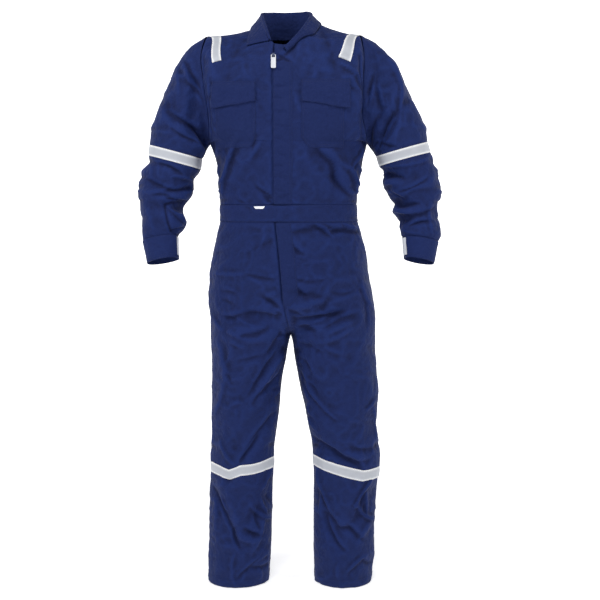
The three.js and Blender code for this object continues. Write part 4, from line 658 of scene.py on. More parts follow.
def band_cloth(side):
    return cloth(
        lambda s, up: trunk(side, s, up * 1000),
        MIRROR[side],
        lambda s, up: 0.5 * smooth((up * 1000 - BAND_BOTTOM) / 10) * smooth((BAND_TOP - up * 1000) / 10),
    )


def bodice_cloth(side, face):
    return cloth(
        lambda s, v: bodice(side, face, s, v),
        MIRROR[side] * (1 if face == "front" else -1),
        lambda s, v: smooth(s * 14)
        * smooth(v * 14)
        * smooth((2 - v) * 14)
        * smooth(np.maximum((1 - s) * 12, (0.92 - v) * 8))
        * (0.35 + 0.65 * smooth((1 - s) * 12)),
    )


def sleeve_cloth(side):
    return cloth(
        lambda turn, ring: sleeve(side, turn, ring),
        MIRROR[side],
        lambda turn, ring: smooth(ring / 2)
        * smooth(np.abs(ring - 9.5) - 0.5)
        * smooth(CUFF_SEAM - ring)
        * (0.4 + 0.6 * smooth(np.abs(turn % 1 - 0.5) * 20)),
    )


LEG = {side: trouser_cloth(side) for side in MIRROR}
BAND = {side: band_cloth(side) for side in MIRROR}
BODICE = {(side, face): bodice_cloth(side, face) for side in MIRROR for face in ("front", "back")}
ARM = {side: sleeve_cloth(side) for side in MIRROR}


# Lines across a piece from start to end, about a step apart, and closer at edges where it is sewn
def lines(start, end, length, step=STEP, close=(0.7, 1.6, 3, 5, 7.5, 10)):
    edge = [d for d in close if d < length / 2.5]
    first = edge[-1] if edge else 0
    count = max(int(round((length - 2 * first) / step)), 1)
    inner = np.linspace(first, length - first, count + 1)
    runs = [0, *edge[:-1], *inner, *[length - d for d in edge[:-1]][::-1], length] if edge else inner
    return start + (end - start) * np.array(runs) / length


# Distances of a grid's points along the cloth from its first and last columns and its bottom and
# top rows
def edges_of(grid):
    across = np.pad(np.cumsum(np.linalg.norm(np.diff(grid, axis=1), axis=-1), axis=1), ((0, 0), (1, 0)))
    along = np.pad(np.cumsum(np.linalg.norm(np.diff(grid, axis=0), axis=-1), axis=0), ((1, 0), (0, 0)))
    return {"first": across, "last": across[:, -1:] - across, "bottom": along, "top": along[-1:] - along}


def normals_of(grid, outward, round_=False):
    if round_:
        across = np.roll(grid, -1, axis=1) - np.roll(grid, 1, axis=1)
    else:
        across = np.gradient(grid, axis=1)
    return unit(np.cross(across, np.gradient(grid, axis=0))) * outward


def place_mesh(name, points, faces, uv=None, marks=None, smooth_faces=True):
    mesh = bpy.data.meshes.new(name)
    placed = (np.asarray(points, float) - (0, 0, HOLD)) / 1000
    faces = np.asarray(faces)
    mesh.vertices.add(len(placed))
    mesh.vertices.foreach_set("co", placed.ravel())
    mesh.loops.add(faces.size)
    mesh.loops.foreach_set("vertex_index", faces.ravel())
    mesh.polygons.add(len(faces))
    mesh.polygons.foreach_set("loop_start", np.arange(0, faces.size, faces.shape[1]))
    mesh.polygons.foreach_set("loop_total", np.full(len(faces), faces.shape[1]))
    mesh.update()
    mesh.validate()
    if uv is not None:
        layer = mesh.uv_layers.new(name="cut")
        layer.data.foreach_set("uv", np.asarray(uv)[faces.ravel()].ravel())
    if marks is not None:
        mesh.attributes.new("relief", "FLOAT", "POINT").data.foreach_set("value", np.ravel(marks))
    mesh.polygons.foreach_set("use_smooth", np.full(len(faces), smooth_faces))
    body = bpy.data.objects.new(f"sewn_{name}", mesh)
    bpy.context.collection.objects.link(body)
    return body


# A closed sheet between an outer and an inner grid
def sheet_mesh(name, outer, inner, outward, round_=False, marks=None):
    rows, columns = outer.shape[:2]
    count = rows * columns
    index = np.arange(count).reshape(rows, columns)
    if round_:
        index = np.concatenate([index, index[:, :1]], axis=1)
    a, b, c, d = index[:-1, :-1], index[:-1, 1:], index[1:, 1:], index[1:, :-1]
    quads = [np.stack([a, b, c, d], -1).reshape(-1, 4), np.stack([a, d, c, b], -1).reshape(-1, 4) + count]

    def rim(line):
        low, high = line[:-1], line[1:]
        return np.stack([high, low, low + count, high + count], -1)

    quads += [rim(index[0]), rim(index[-1][::-1])]
    if not round_:
        quads += [rim(index[::-1, 0]), rim(index[:, -1])]
    faces = np.concatenate(quads)
    if outward < 0:
        faces = faces[:, ::-1]
    far = edges_of(outer)
    uv = np.stack([far["first"] - far["first"][:, -1:] / 2, far["bottom"]], -1).reshape(-1, 2) / 1000
    marks = np.zeros((rows, columns)) if marks is None else marks
    return place_mesh(
        name,
        np.concatenate([outer.reshape(-1, 3), inner.reshape(-1, 3)]),
        faces,
        np.concatenate([uv, uv]),
        np.concatenate([marks.ravel(), marks.ravel()]),
    )


# Height of a seam's parts at a distance from its edge, and the puckers that its sewing draws
def dip(distance):
    return -1.2 * near(distance, 1.6)


def lapped(distance):
    strip = 0.75 * smooth((10.5 - distance) / 1.6)
    return strip - 0.4 * near(distance - 2, 0.9) - 0.4 * near(distance - 8, 0.9)


def puckers(grid, distance, reach=13, height=0.9):
    return height * noise(grid, 13, 4.4) * np.exp(-(distance / reach))


# How much higher a point lies than the cloth round it: ridges are above zero, troughs below. The navy cloth
# turns this into painted shade in troughs and painted highlight on ridges
def ridges_of(grid, normal):
    total = np.zeros_like(grid)
    for reach in (1, 2, 3):
        for axis in (0, 1):
            for sign in (-1, 1):
                total += np.roll(grid, reach * sign, axis=axis)
    lift = ((grid - total / 12) * normal).sum(-1)
    for edge in (slice(0, 3), slice(-3, None)):
        lift[edge] = 0
        lift[:, edge] = 0
    return np.clip(lift / 1.2, -1, 1)


THREAD = []


# A row of stitches on a grid, at a distance from one of its edges
def stitch(grid, outward, edge, distance, part="upper", start=0.0, stop=1.0, round_=False):
    normal = normals_of(grid, outward)
    far = edges_of(grid)[edge]
    if edge in ("first", "last"):
        grid, normal, far = grid.swapaxes(0, 1), normal.swapaxes(0, 1), far.T
    if edge in ("last", "top"):
        grid, normal, far = grid[::-1], normal[::-1], far[::-1]
    run, out = [], []
    for k in range(int(start * (grid.shape[1] - 1)), int(stop * (grid.shape[1] - 1)) + 1):
        run.append([np.interp(distance, far[:, k], grid[:, k, axis]) for axis in range(3)])
        out.append([np.interp(distance, far[:, k], normal[:, k, axis]) for axis in range(3)])
    THREAD.append((part, np.array(run) + np.array(out) * 0.15, unit(np.array(out))))


PROFILES = {
    "dip": dip,
    "lapped": lapped,
    "hem": lambda d: 0.7 * smooth((23 - d) / 1.8) - 0.6 * near(d - 20.5, 1.2),
    "deep": lambda d: -4.2 * near(d, 4.2),
    "gap": lambda d: -4.5 * near(d, 6.5),
    "free": lambda d: 0.0 * d,
}


# A panel of the suit on its cloth, with the seams named for its edges
def panel(name, grid, outward, seams, thick=CLOTH, slot="navy_cloth", gap_above=None):
    normal = normals_of(grid, outward)
    far = edges_of(grid)
    height = np.zeros(grid.shape[:2])
    if gap_above:
        height += PROFILES["gap"](far["first"]) * smooth((grid[..., 2] - gap_above) / 25)
    for edge, kind in seams.items():
        height += PROFILES[kind](far[edge])
        if kind != "free":
            height += puckers(grid, far[edge])
    outer = grid + normal * height[..., None]
    body = sheet_mesh(name, outer, outer - normal * thick, outward, marks=ridges_of(outer, normal))
    return finish_piece(body, slot, name), outer


# A strip or patch of cloth over a grid, thinner at its edges
def patch(name, grid, outward, lift, thick, slot, nodes=None, round_=False, bulge=0.0, marks=None):
    normal = normals_of(grid, outward, round_)
    far = edges_of(grid)
    sides = [far["bottom"], far["top"]] + ([] if round_ else [far["first"], far["last"]])
    edge = np.minimum.reduce(sides)
    low = grid + normal * np.asarray(lift)[..., None]
    high = thick * (0.45 + 0.55 * smooth(edge / 1.4)) + bulge * smooth(edge / 26)
    high = high - 0.35 * near(edge - 2, 0.9)
    outer = low + normal * high[..., None]
    body = sheet_mesh(name, outer, low, outward, round_, marks=marks)
    return finish_piece(body, slot, *(nodes or [name])), outer


def finish_piece(body, slot, *nodes, rides="suit"):
    body.data.materials.append(MATERIALS[slot])
    if nodes:
        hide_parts(*nodes)
    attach(body, rides)
    return body


# What rays from the front meet: for each place seen there, the cloth and its own two measures
class Skin:
    def __init__(self, *parts):
        self.parts = parts
        corners, faces, self.sources = [], [], []
        for number, (cloth_at, a, b, outward) in enumerate(parts):
            grid = cloth_at(*np.meshgrid(a, b))
            base = sum(len(c) for c in corners)
            rows, columns = grid.shape[:2]
            index = np.arange(rows * columns).reshape(rows, columns) + base
            corners.append(grid.reshape(-1, 3))
            for j in range(rows - 1):
                for i in range(columns - 1):
                    quad = (index[j, i], index[j, i + 1], index[j + 1, i + 1], index[j + 1, i])
                    for tri, ids in ((quad[:3], ((j, i), (j, i + 1), (j + 1, i + 1))),
                                     ((quad[0], quad[2], quad[3]), ((j, i), (j + 1, i + 1), (j + 1, i)))):
                        faces.append([int(k) for k in (tri if outward > 0 else tri[::-1])])
                        ids = ids if outward > 0 else ids[::-1]
                        self.sources.append((number, [(a[q], b[p]) for p, q in ids]))
        self.corners = np.concatenate(corners)
        self.faces = faces
        self.tree = BVHTree.FromPolygons([Vector(p) for p in self.corners], faces)

    def at(self, x, z, start=-600.0):
        x, z = np.broadcast_arrays(np.asarray(x, float), np.asarray(z, float))
        number = np.zeros(x.shape, int)
        measures = np.zeros(x.shape + (2,))
        for spot_ in np.ndindex(x.shape):
            eye = Vector((x[spot_], start, z[spot_]))
            hit, facing, face, far = self.tree.ray_cast(eye, Vector((0, 1, 0)))
            if hit is None:
                raise ValueError(f"nothing at {x[spot_]:.0f}, {z[spot_]:.0f}")
            number[spot_], own = self.sources[face]
            p, q, r = (self.corners[k] for k in self.faces[face])
            weights = np.linalg.lstsq(np.array([[*p, 1], [*q, 1], [*r, 1]]).T, [*hit, 1], rcond=None)[0]
            measures[spot_] = weights @ np.array(own)
        out = np.zeros(x.shape + (3,))
        for k, part in enumerate(self.parts):
            mine = number == k
            if mine.any():
                out[mine] = part[0](measures[mine][:, 0], measures[mine][:, 1])
        return out


# Finishes
class Reading:
    """A socket that can be used in a sum"""

    def __init__(self, finish, socket):
        self.finish, self.socket = finish, socket

    def maths(self, operation, *values):
        ports = {k: v for k, v in enumerate(values)}
        return self.finish.node("ShaderNodeMath", {"operation": operation}, ports)

    def __add__(self, other):
        return self.maths("ADD", self, other)

    def __radd__(self, other):
        return self.maths("ADD", other, self)

    def __sub__(self, other):
        return self.maths("SUBTRACT", self, other)

    def __rsub__(self, other):
        return self.maths("SUBTRACT", other, self)

    def __mul__(self, other):
        return self.maths("MULTIPLY", self, other)

    def __rmul__(self, other):
        return self.maths("MULTIPLY", other, self)


class Finish:
    def __init__(self, name):
        self.material = bpy.data.materials.new(name)
        self.material.use_nodes = True
        self.tree = self.material.node_tree
        self.tree.nodes.clear()

    def node(self, kind, settings, values, out=0):
        made = self.tree.nodes.new(kind)
        for name, setting in settings.items():
            setattr(made, name, setting)
        for name, value in values.items():
            if isinstance(value, Reading):
                self.tree.links.new(value.socket, made.inputs[name])
            else:
                made.inputs[name].default_value = value
        return Reading(self, made.outputs[out])

    def where(self):
        return self.node("ShaderNodeTexCoord", {}, {}, "Object")

    def cut(self):
        return self.node("ShaderNodeUVMap", {"uv_map": "cut"}, {})

    def mark(self):
        return self.node("ShaderNodeAttribute", {"attribute_name": "relief"}, {}, "Fac")

    def grain(self, place, size, detail=2.0, rough=0.5, stretch=None):
        if stretch:
            place = self.node("ShaderNodeMapping", {}, {"Vector": place, "Scale": stretch})
        values = {"Vector": place, "Scale": size, "Detail": detail, "Roughness": rough}
        return self.node("ShaderNodeTexNoise", {}, values, 0)

    def blend(self, share, low, high):
        values = {0: share, 6: low, 7: high}
        return self.node("ShaderNodeMix", {"data_type": "RGBA", "clamp_factor": True}, values, 2)

    def bump(self, height, distance, strength=1.0, normal=None):
        values = {"Height": height, "Distance": distance, "Strength": strength}
        if normal is not None:
            values["Normal"] = normal
        return self.node("ShaderNodeBump", {}, values)

    def surface(self, **values):
        named = {name.replace("_", " "): value for name, value in values.items()}
        shader = self.node("ShaderNodeBsdfPrincipled", {}, named)
        self.node_out(shader)
        return self.material

    def node_out(self, shader):
        output = self.tree.nodes.new("ShaderNodeOutputMaterial")
        self.tree.links.new(shader.socket, output.inputs["Surface"])


def shade(hex_code, lighter=1.0):
    values = [int(hex_code[k : k + 2], 16) / 255 for k in (0, 2, 4)]
    return tuple(lighter * (v / 12.92 if v < 0.04045 else ((v + 0.055) / 1.055) ** 2.4) for v in values) + (1,)


def navy_twill():
    f = Finish("navy_twill")
    where, cut, mark = f.where(), f.cut(), f.mark()
    broad = f.grain(where, 7.0, 2.0)
    mottled = f.grain(where, 210.0, 3.0, 0.65)
    yarn = f.grain(cut, 1.0, 1.0, 0.5, (1500.0, 260.0, 1.0))
    # Painted shade and highlight: the relief attribute darkens the cloth in its troughs and lightens it on its
    # ridges
    crease_shade_and_highlight = mark * 0.55 + 0.5
    base = f.blend(crease_shade_and_highlight, shade("020728"), shade("182d68"))
    base = f.blend(broad * 0.5, base, shade("0b1b50"))
    base = f.blend(mottled * 0.6 + yarn * 0.3 - 0.2, base, shade("172a63"))
    crumpled = f.grain(where, 95.0, 3.0, 0.55)
    runs = f.node("ShaderNodeSeparateXYZ", {}, {0: cut}, "X") * 5200.0
    runs = runs + f.node("ShaderNodeSeparateXYZ", {}, {0: cut}, "Y") * 4200.0
    twill = runs.maths("SINE", runs)
    normal = f.bump(crumpled, 0.005, 0.75)
    normal = f.bump(twill * 0.5 + yarn * 0.6, 0.00012, 0.5, normal)
    return f.surface(
        Base_Color=base, Roughness=0.86 - 0.1 * mottled, Normal=normal, Sheen_Weight=0.05,
        Sheen_Roughness=0.45, Sheen_Tint=(0.55, 0.63, 1.0, 1.0), Specular_IOR_Level=0.24,
    )


def reflective():
    f = Finish("reflective_tape")
    where, cut, mark = f.where(), f.cut(), f.mark()
    beads = f.grain(cut, 2600.0, 1.0)
    scuffs = f.grain(where, 60.0, 4.0, 0.7)
    base = f.blend(scuffs, shade("aeb2bb"), shade("c2c6ce"))
    base = f.blend(mark * 1.4, base, shade("ffffff"))
    normal = f.bump(f.grain(where, 120.0, 2.0), 0.0009, 0.5)
    normal = f.bump(beads, 0.00006, 0.6, normal)
    return f.surface(Base_Color=base, Roughness=0.42 + 0.2 * scuffs, Normal=normal, Specular_IOR_Level=0.55)


def woven_label():
    f = Finish("woven_label")
    cut = f.cut()
    weft = f.node("ShaderNodeSeparateXYZ", {}, {0: cut}, "Y") * 9000.0
    warp = f.node("ShaderNodeSeparateXYZ", {}, {0: cut}, "X") * 7000.0
    weave = weft.maths("SINE", weft) * warp.maths("SINE", warp)
    base = f.blend(f.grain(f.where(), 300.0, 2.0), shade("dfe2e8"), shade("f4f5f7"))
    # Emission_Strength makes the labels glow: painted light that keeps them pale where they sit in shade
    return f.surface(
        Base_Color=base, Roughness=0.6 + 0.1 * weave, Normal=f.bump(weave, 0.0001, 0.5),
        Emission_Color=base, Emission_Strength=0.3,
    )


def hook_strip():
    f = Finish("hook_strip")
    where = f.where()
    pile = f.node("ShaderNodeTexVoronoi", {}, {"Vector": where, "Scale": 900.0}, "Distance")
    base = f.blend(pile * 1.2, shade("eceef2"), shade("c9cdd6"))
    return f.surface(Base_Color=base, Roughness=0.8 - 0.1 * pile, Normal=f.bump(pile, 0.0005, 0.8))


def metal():
    f = Finish("zip_metal")
    brushed = f.grain(f.where(), 700.0, 2.0, 0.6, (1.0, 1.0, 0.12))
    base = f.blend(brushed, shade("3a4054"), shade("555b70"))
    return f.surface(
        Base_Color=base, Metallic=0.9, Roughness=0.3 + 0.2 * brushed, Normal=f.bump(brushed, 0.00005, 0.5)
    )


def tab_plastic():
    f = Finish("pull_tab_plastic")
    marks = f.grain(f.where(), 420.0, 4.0, 0.7)
    base = f.blend(marks, shade("c9ccd3"), shade("e2e4e8"))
    return f.surface(
        Base_Color=base, Roughness=0.35 + 0.2 * marks, Normal=f.bump(marks, 0.00008, 0.5),
        Coat_Weight=0.15,
    )


def thread():
    f = Finish("thread")
    twist = f.grain(f.where(), 1400.0, 2.0)
    base = f.blend(twist, shade("0c1740"), shade("1d2c62"))
    return f.surface(Base_Color=base, Roughness=0.6 + 0.2 * twist, Normal=f.bump(twist, 0.0001, 0.6))


def pale_paper():
    f = Finish("pale_paper")
    haze = f.grain(f.where(), 3.0, 1.0)
    base = f.blend(haze, (0.88, 0.88, 0.89, 1), (0.92, 0.92, 0.93, 1))
    away = f.node("ShaderNodeSeparateXYZ", {}, {0: f.where()}, "Y") * 0.6 - 0.3
    glow = f.blend(away, shade("b8b8b8"), (1.0, 1.0, 1.0, 1))
    return f.surface(
        Base_Color=base, Roughness=0.9 + 0.05 * haze, Normal=f.bump(haze, 0.0001, 0.1),
        Emission_Color=glow, Emission_Strength=1.05,
    )


MATERIALS = {
    "navy_cloth": navy_twill(),
    "reflective_tape": reflective(),
    "label": woven_label(),
    "fastening_strip": hook_strip(),
    "zip_metal": metal(),
    "pull_tab": tab_plastic(),
    "thread": thread(),
    "paper": pale_paper(),
}
SHEETS = []


def is_sheet(body, held, rests_on):
    SHEETS.append((body, held, rests_on))


# Rows of stitches on a lapped seam, the lines of a tape and the pale border along its edges
TWIN_ROWS = (2, 8)
TAPE_EDGES = (0.6, 1.4, 2.4, 4)
TAPE_STEP = 3.5
BORDER = 3.4


# A reflective tape sewn round a leg or an arm
def round_tape(name, grid, sign, rests_on, part):
    far = edges_of(grid)
    border = near(np.minimum(far["bottom"], far["top"]), BORDER)
    body, outer = patch(name, grid, sign, 0.35, 0.8, "reflective_tape", round_=True, marks=border)
    is_sheet(body, "stretched", rests_on)
    closed = np.concatenate([outer, outer[:, :1]], axis=1)
    for edge in ("bottom", "top"):
        stitch(closed, sign, edge, 2, part)


# Trousers
FLY_BOTTOM = 818
FLY_HEIGHT = 225
KNEE_ROWS = {"right": (318, 348), "left": (303, 333)}
TAPE_SWAY = {
    "right": ((-225, -200, -172, -140, -100, -50), (10, 4, -7, 4, 3, 6)),
    "left": ((50, 100, 160, 205, 250), (7, 5, 2, -1, 9)),
}
for side, sign in MIRROR.items():
    low, high = KNEE_ROWS[side]
    shin, tape = lines(0, low, low), lines(low, high, high - low, close=(2,))
    thigh = lines(high, BAND_BOTTOM, BAND_BOTTOM - high)
    rows = np.unique(np.concatenate([shin, tape, thigh])) / 1000
    for face, start, end in (("front", 0, 0.5), ("back", 0.5, 1)):
        columns = lines(start, end, 330)
        grid = LEG[side](*np.meshgrid(columns, rows))
        middle, edge = ("first", "last") if face == "front" else ("last", "first")
        seams = {middle: "lapped" if side == "left" else "dip", edge: "lapped" if face == "back" else "dip"}
        name = f"trouser_{face}_{side}"
        seams.update(bottom="hem", top="dip")
        gap_above = FLY_BOTTOM if name == "trouser_front_right" else None
        body, outer = panel(name, grid, sign, seams, gap_above=gap_above)
        is_sheet(body, "hung", ["waistband_" + face])
        for seam in (edge, middle):
            if seams[seam] == "lapped":
                for distance in TWIN_ROWS:
                    stitch(outer, sign, seam, distance, "lower")
        stitch(outer, sign, "bottom", 20.5, "lower")
    around = np.linspace(0, 1, 150)[:-1]
    tape_rows = lines(low, high, high - low, TAPE_STEP, TAPE_EDGES) / 1000
    turn, row = np.meshgrid(around, tape_rows)
    place = LEG[side](turn, row)
    sway = np.interp(place[..., 0], *TAPE_SWAY[side]) * smooth((20 - place[..., 1]) / 70)
    grid = LEG[side](turn, row + sway / 1000)
    round_tape(f"knee_tape_{side}", grid, sign, [f"trouser_front_{side}", f"trouser_back_{side}"], "lower")

# Waistband
band_rows = lines(BAND_BOTTOM, BAND_TOP, BAND_TOP - BAND_BOTTOM) / 1000
for face, start, end in (("front", 0, 0.5), ("back", 1, 0.5)):
    columns = lines(start, end, 310)
    right = BAND["right"](*np.meshgrid(columns, band_rows))
    left = BAND["left"](*np.meshgrid(columns, band_rows))
    grid = np.concatenate([right[:, ::-1], left[:, 1:]], axis=1)
    outward = 1 if face == "front" else -1
    grid = grid + normals_of(grid, outward) * 0.9
    seams = {"bottom": "dip", "top": "dip", "first": "dip", "last": "dip"}
    body, outer = panel(f"waistband_{face}", grid, outward, seams, 2.4)
    is_sheet(body, "stretched", ["trouser_front_right", "trouser_front_left"])
    for edge in ("bottom", "top"):
        stitch(outer, outward, edge, 2.5, "lower")

# Bodice
body_rows = np.unique(np.concatenate([lines(0, 1, 173), lines(1, 2, 300)]))
body_columns = lines(0, 1, 250)
for side, sign in MIRROR.items():
    grid = BODICE[side, "front"](*np.meshgrid(body_columns, body_rows))
    seams = {"bottom": "dip", "last": "deep", "first": "gap" if side == "right" else "free", "top": "dip"}
    body, outer = panel(f"bodice_front_{side}", grid, sign, seams)
    is_sheet(body, "hung", [])
right = BODICE["right", "back"](*np.meshgrid(body_columns, body_rows))
left = BODICE["left", "back"](*np.meshgrid(body_columns, body_rows))
back_grid = np.concatenate([right[:, ::-1], left[:, 1:]], axis=1)
body, outer = panel(
    "bodice_back", back_grid, -1, {"bottom": "dip", "first": "lapped", "last": "lapped", "top": "lapped"},
)
is_sheet(body, "hung", [])
for edge in ("first", "last", "top"):
    for distance in TWIN_ROWS:
        stitch(outer, -1, edge, distance)

# Sleeves and cuffs
ARM_RUN = 600  # length of the sleeve that its rings are spread over
TAPE_RINGS = (9, 10)
for side, sign in MIRROR.items():
    turns = lines(0.5, 1.5, 560)
    rings = np.interp(lines(0, ARM_RUN, ARM_RUN), np.linspace(0, ARM_RUN, 22), np.arange(22))
    rings = np.unique(np.concatenate([rings, TAPE_RINGS]))
    grid = ARM[side](*np.meshgrid(turns, rings))
    body, outer = panel(
        f"sleeve_{side}", grid, sign, {"bottom": "lapped", "first": "dip", "last": "lapped", "top": "dip"},
    )
    is_sheet(body, "hung", ["bodice_back"])
    for edge in ("bottom", "last"):
        for distance in TWIN_ROWS:
            stitch(outer, sign, edge, distance)
    around = np.linspace(0, 1, 130)[:-1]
    grid = ARM[side](*np.meshgrid(around, lines(*TAPE_RINGS, 30, TAPE_STEP, TAPE_EDGES)))
    round_tape(f"sleeve_tape_{side}", grid, sign, [f"sleeve_{side}"], "upper")

CUFF_OPENING = {"right": (0.44, 0.53), "left": (0.41, 0.5)}
for side, sign in MIRROR.items():
    start, end = CUFF_OPENING[side]
    turns = lines(start - 0.03, 1 + start, 300, 3.6)
    rings = lines(CUFF_SEAM, CUFF_END, 76, 3.6)
    turn, ring = np.meshgrid(turns, rings)
    bare = sleeve(side, turn, ring)
    normal = normals_of(bare, sign)
    under = 1 - smooth((turn - end) / 0.035)
    flare = smooth((turn - 1 - start + 0.06) / 0.06)
    wavy = 1.2 * noise(bare, 24, 0.8) * flare
    grid = bare + normal * (0.8 - 3.4 * under + (crumple(bare) * 0.35) + wavy)[..., None]
    body, outer = panel(
        f"cuff_{side}", grid, sign, {"bottom": "dip", "top": "free", "first": "free", "last": "free"}, 2.2,
    )
    is_sheet(body, "hung", [f"sleeve_{side}"])
    for edge, distance in (("bottom", 3), ("top", 4), ("last", 4), ("top", 9)):
        stitch(outer, sign, edge, distance)
    turns = lines(start - 0.004, end + 0.006, 30, 3.0, (0.6, 1.4, 2.6))
    rings = lines(CUFF_SEAM + 0.25, CUFF_END - 0.35, 62, 3.0, (0.6, 1.4, 2.6))
    bare = sleeve(side, *np.meshgrid(turns, rings))
    normal = normals_of(bare, sign)
    wave = 1.1 * noise(bare, 15, 6.6)
    grid = bare + normal * (-2.4 + wave + 0.4)[..., None]
    body, outer = patch(f"cuff_strip_{side}", grid, sign, 0.6, 1.6, "fastening_strip")
    is_sheet(body, "laid", [f"cuff_{side}"])

# What is sewn on the fronts
chest = Skin(*((BODICE[side, "front"], body_columns[::2], body_rows[::2], MIRROR[side]) for side in MIRROR))
hip_columns, hip_rows = lines(0, 0.5, 330, 8), np.linspace(0.76, 1.045, 40)
hips = Skin(*((LEG[side], hip_columns, hip_rows, MIRROR[side]) for side in MIRROR))
waist = Skin(*((BAND[side], lines(0, 0.5, 310, 8), band_rows, MIRROR[side]) for side in MIRROR))
behind = Skin(*((BODICE[side, "back"], body_columns[::2], body_rows[::2], -MIRROR[side]) for side in MIRROR))


# A patch with edges that are x at a height and heights at an x
def patch_grid(skin, near_x, far_x, bottom, top, width, height, step=3.6, **where):
    across = lines(0, 1, width, step)
    up = lines(0, 1, height, step)
    u, w = np.meshgrid(across, up)
    x = lerp(near_x(w), far_x(w), u)
    z = lerp(bottom(x), top(x), w)
    return skin.at(x, z, **where)


def flat(value):
    return lambda at: np.full(np.shape(at), float(value))


POCKETS = {
    "right": {"near": -91, "far": -198, "top": 1408, "bottom": 1246, "cut_x": -106, "cut_z": 1268},
    "left": {"near": 32, "far": 146, "top": 1408, "bottom": 1246, "cut_x": 53, "cut_z": 1274},
}
FLAPS = {
    "right": {"near": -92, "far": -207, "top": 1421, "near_bottom": 1369, "far_bottom": 1349},
    "left": {"near": 33, "far": 162, "top": 1427, "near_bottom": 1369, "far_bottom": 1350},
}
for side, sign in MIRROR.items():
    p, q = POCKETS[side], FLAPS[side]

    def bottom(x, p=p):
        return lerp(p["bottom"], p["cut_z"], np.clip((x - p["cut_x"]) / (p["near"] - p["cut_x"]), 0, 1))

    grid = patch_grid(chest, flat(p["near"]), flat(p["far"]), bottom, flat(p["top"]), 112, 160)
    body, outer = patch(f"chest_pocket_{side}", grid, sign, 0.4, 1.4, "navy_cloth", bulge=1.2)
    is_sheet(body, "laid", [f"bodice_front_{side}"])
    for edge in ("first", "last", "bottom"):
        stitch(outer, sign, edge, 2)
        stitch(outer, sign, edge, 8, start=0.05, stop=0.95)

    def lower(x, q=q):
        return lerp(q["near_bottom"], q["far_bottom"], (x - q["near"]) / (q["far"] - q["near"]))

    grid = patch_grid(chest, flat(q["near"]), flat(q["far"]), lower, flat(q["top"]), 120, 62)
    far = edges_of(grid)
    hang = smooth((far["top"] - 2) / 12)
    lift = 0.4 + hang * (3.4 + 0.8 * noise(grid, 30, 8.0)) + 1.4 * near(far["bottom"], 9)
    body, outer = patch(f"pocket_flap_{side}", grid, sign, lift, 1.6, "navy_cloth", bulge=0.7)
    is_sheet(body, "hung", [f"bodice_front_{side}"])
    for edge, distance in (("first", 2.5), ("last", 2.5), ("bottom", 2.5), ("top", 2.5), ("top", 8)):
        stitch(outer, sign, edge, distance)

PLACKET_PUCKERS = (1450, 1405, 1376, 1338, 1304, 1268, 1229, 1196, 1168, 1132)
grid = patch_grid(chest, flat(-43), flat(9), flat(1094), flat(1472), 52, 378)
far = edges_of(grid)
lift = 0.5 + 1.3 * smooth((12 - far["first"]) / 10) + 0.9 * noise(grid, 34, 2.9) * smooth(far["first"] / 4)
inside = smooth((26 - far["first"]) / 16)
for height in PLACKET_PUCKERS:
    slope = grid[..., 2] - height - 0.1 * (grid[..., 0] - ZIP_X)
    lift = lift - 3.2 * near(slope, 3.4) * inside
lift = np.maximum(lift, -1.4) - 1.7 * near(far["last"], 5)
body, outer = patch("placket", grid, 1, lift, 1.9, "navy_cloth", bulge=0.3)
is_sheet(body, "hung", ["bodice_front_left"])
for edge, distance in (("first", 3), ("last", 3), ("last", 9)):
    stitch(outer, 1, edge, distance)


def split_at(z):
    return read(TRUNK, "split", z)


def fly_near(w):
    return split_at(FLY_BOTTOM + FLY_HEIGHT * w) - 3


def fly_far(w):
    z = FLY_BOTTOM + FLY_HEIGHT * w
    return split_at(z) + 40 * smooth(0.45 + (z - FLY_BOTTOM) / 60)


fly_ends = flat(FLY_BOTTOM), flat(FLY_BOTTOM + FLY_HEIGHT)
grid = patch_grid(hips, fly_near, fly_far, *fly_ends, 42, FLY_HEIGHT)
far = edges_of(grid)
lift = 0.5 + 0.9 * smooth((12 - far["first"]) / 10) - 1.4 * near(np.minimum(far["last"], far["bottom"]), 5)
body, outer = patch("fly_flap", grid, 1, lift, 1.7, "navy_cloth", bulge=0.3)
is_sheet(body, "hung", ["trouser_front_left"])
for edge, distance in (("first", 3), ("last", 3)):
    stitch(outer, 1, edge, distance, "lower")

# Shoulder tapes
SHOULDER_TAPES = {
    "right": ((-194, -184, 1475), (-226, -206, 1466)),
    "left": ((174, 134, 1485), (204, 163, 1474)),
}
for side, sign in MIRROR.items():
    neck_x, arm_x = NECK[side, "front"]["x"][-1], SLEEVES[side]["outX"][0]
    front, back = BODICE[side, "front"], BODICE[side, "back"]
    ends = []
    for ridge, x, z in SHOULDER_TAPES[side]:
        face = chest.tree.ray_cast(Vector((x, -600, z)), Vector((0, 1, 0)))[2]
        measures = np.mean(chest.sources[face][1], axis=0)
        ends.append((*measures, 0.5 + 0.5 * (ridge - neck_x) / (arm_x - neck_x)))
    share = lines(0, 1, 29, TAPE_STEP, TAPE_EDGES)
    low = [lerp(ends[0][k], ends[1][k], share) for k in range(3)]
    runs = np.linspace(0, 1, 34)
    a = lerp(low[0][None], low[2][None], runs[:, None])
    b = lerp(low[1][None], 2.0, runs[:, None])
    grid = np.concatenate([front(a, b), back(a, b)[-2::-1]])
    far = edges_of(grid)
    border = near(np.minimum(far["first"], far["last"]), BORDER)
    body, outer = patch(f"shoulder_tape_{side}", grid, sign, 0.9, 0.9, "reflective_tape", marks=border)
    is_sheet(body, "laid", [f"bodice_front_{side}", "bodice_back"])
    for edge in ("first", "last"):
        stitch(outer, sign, edge, 2)

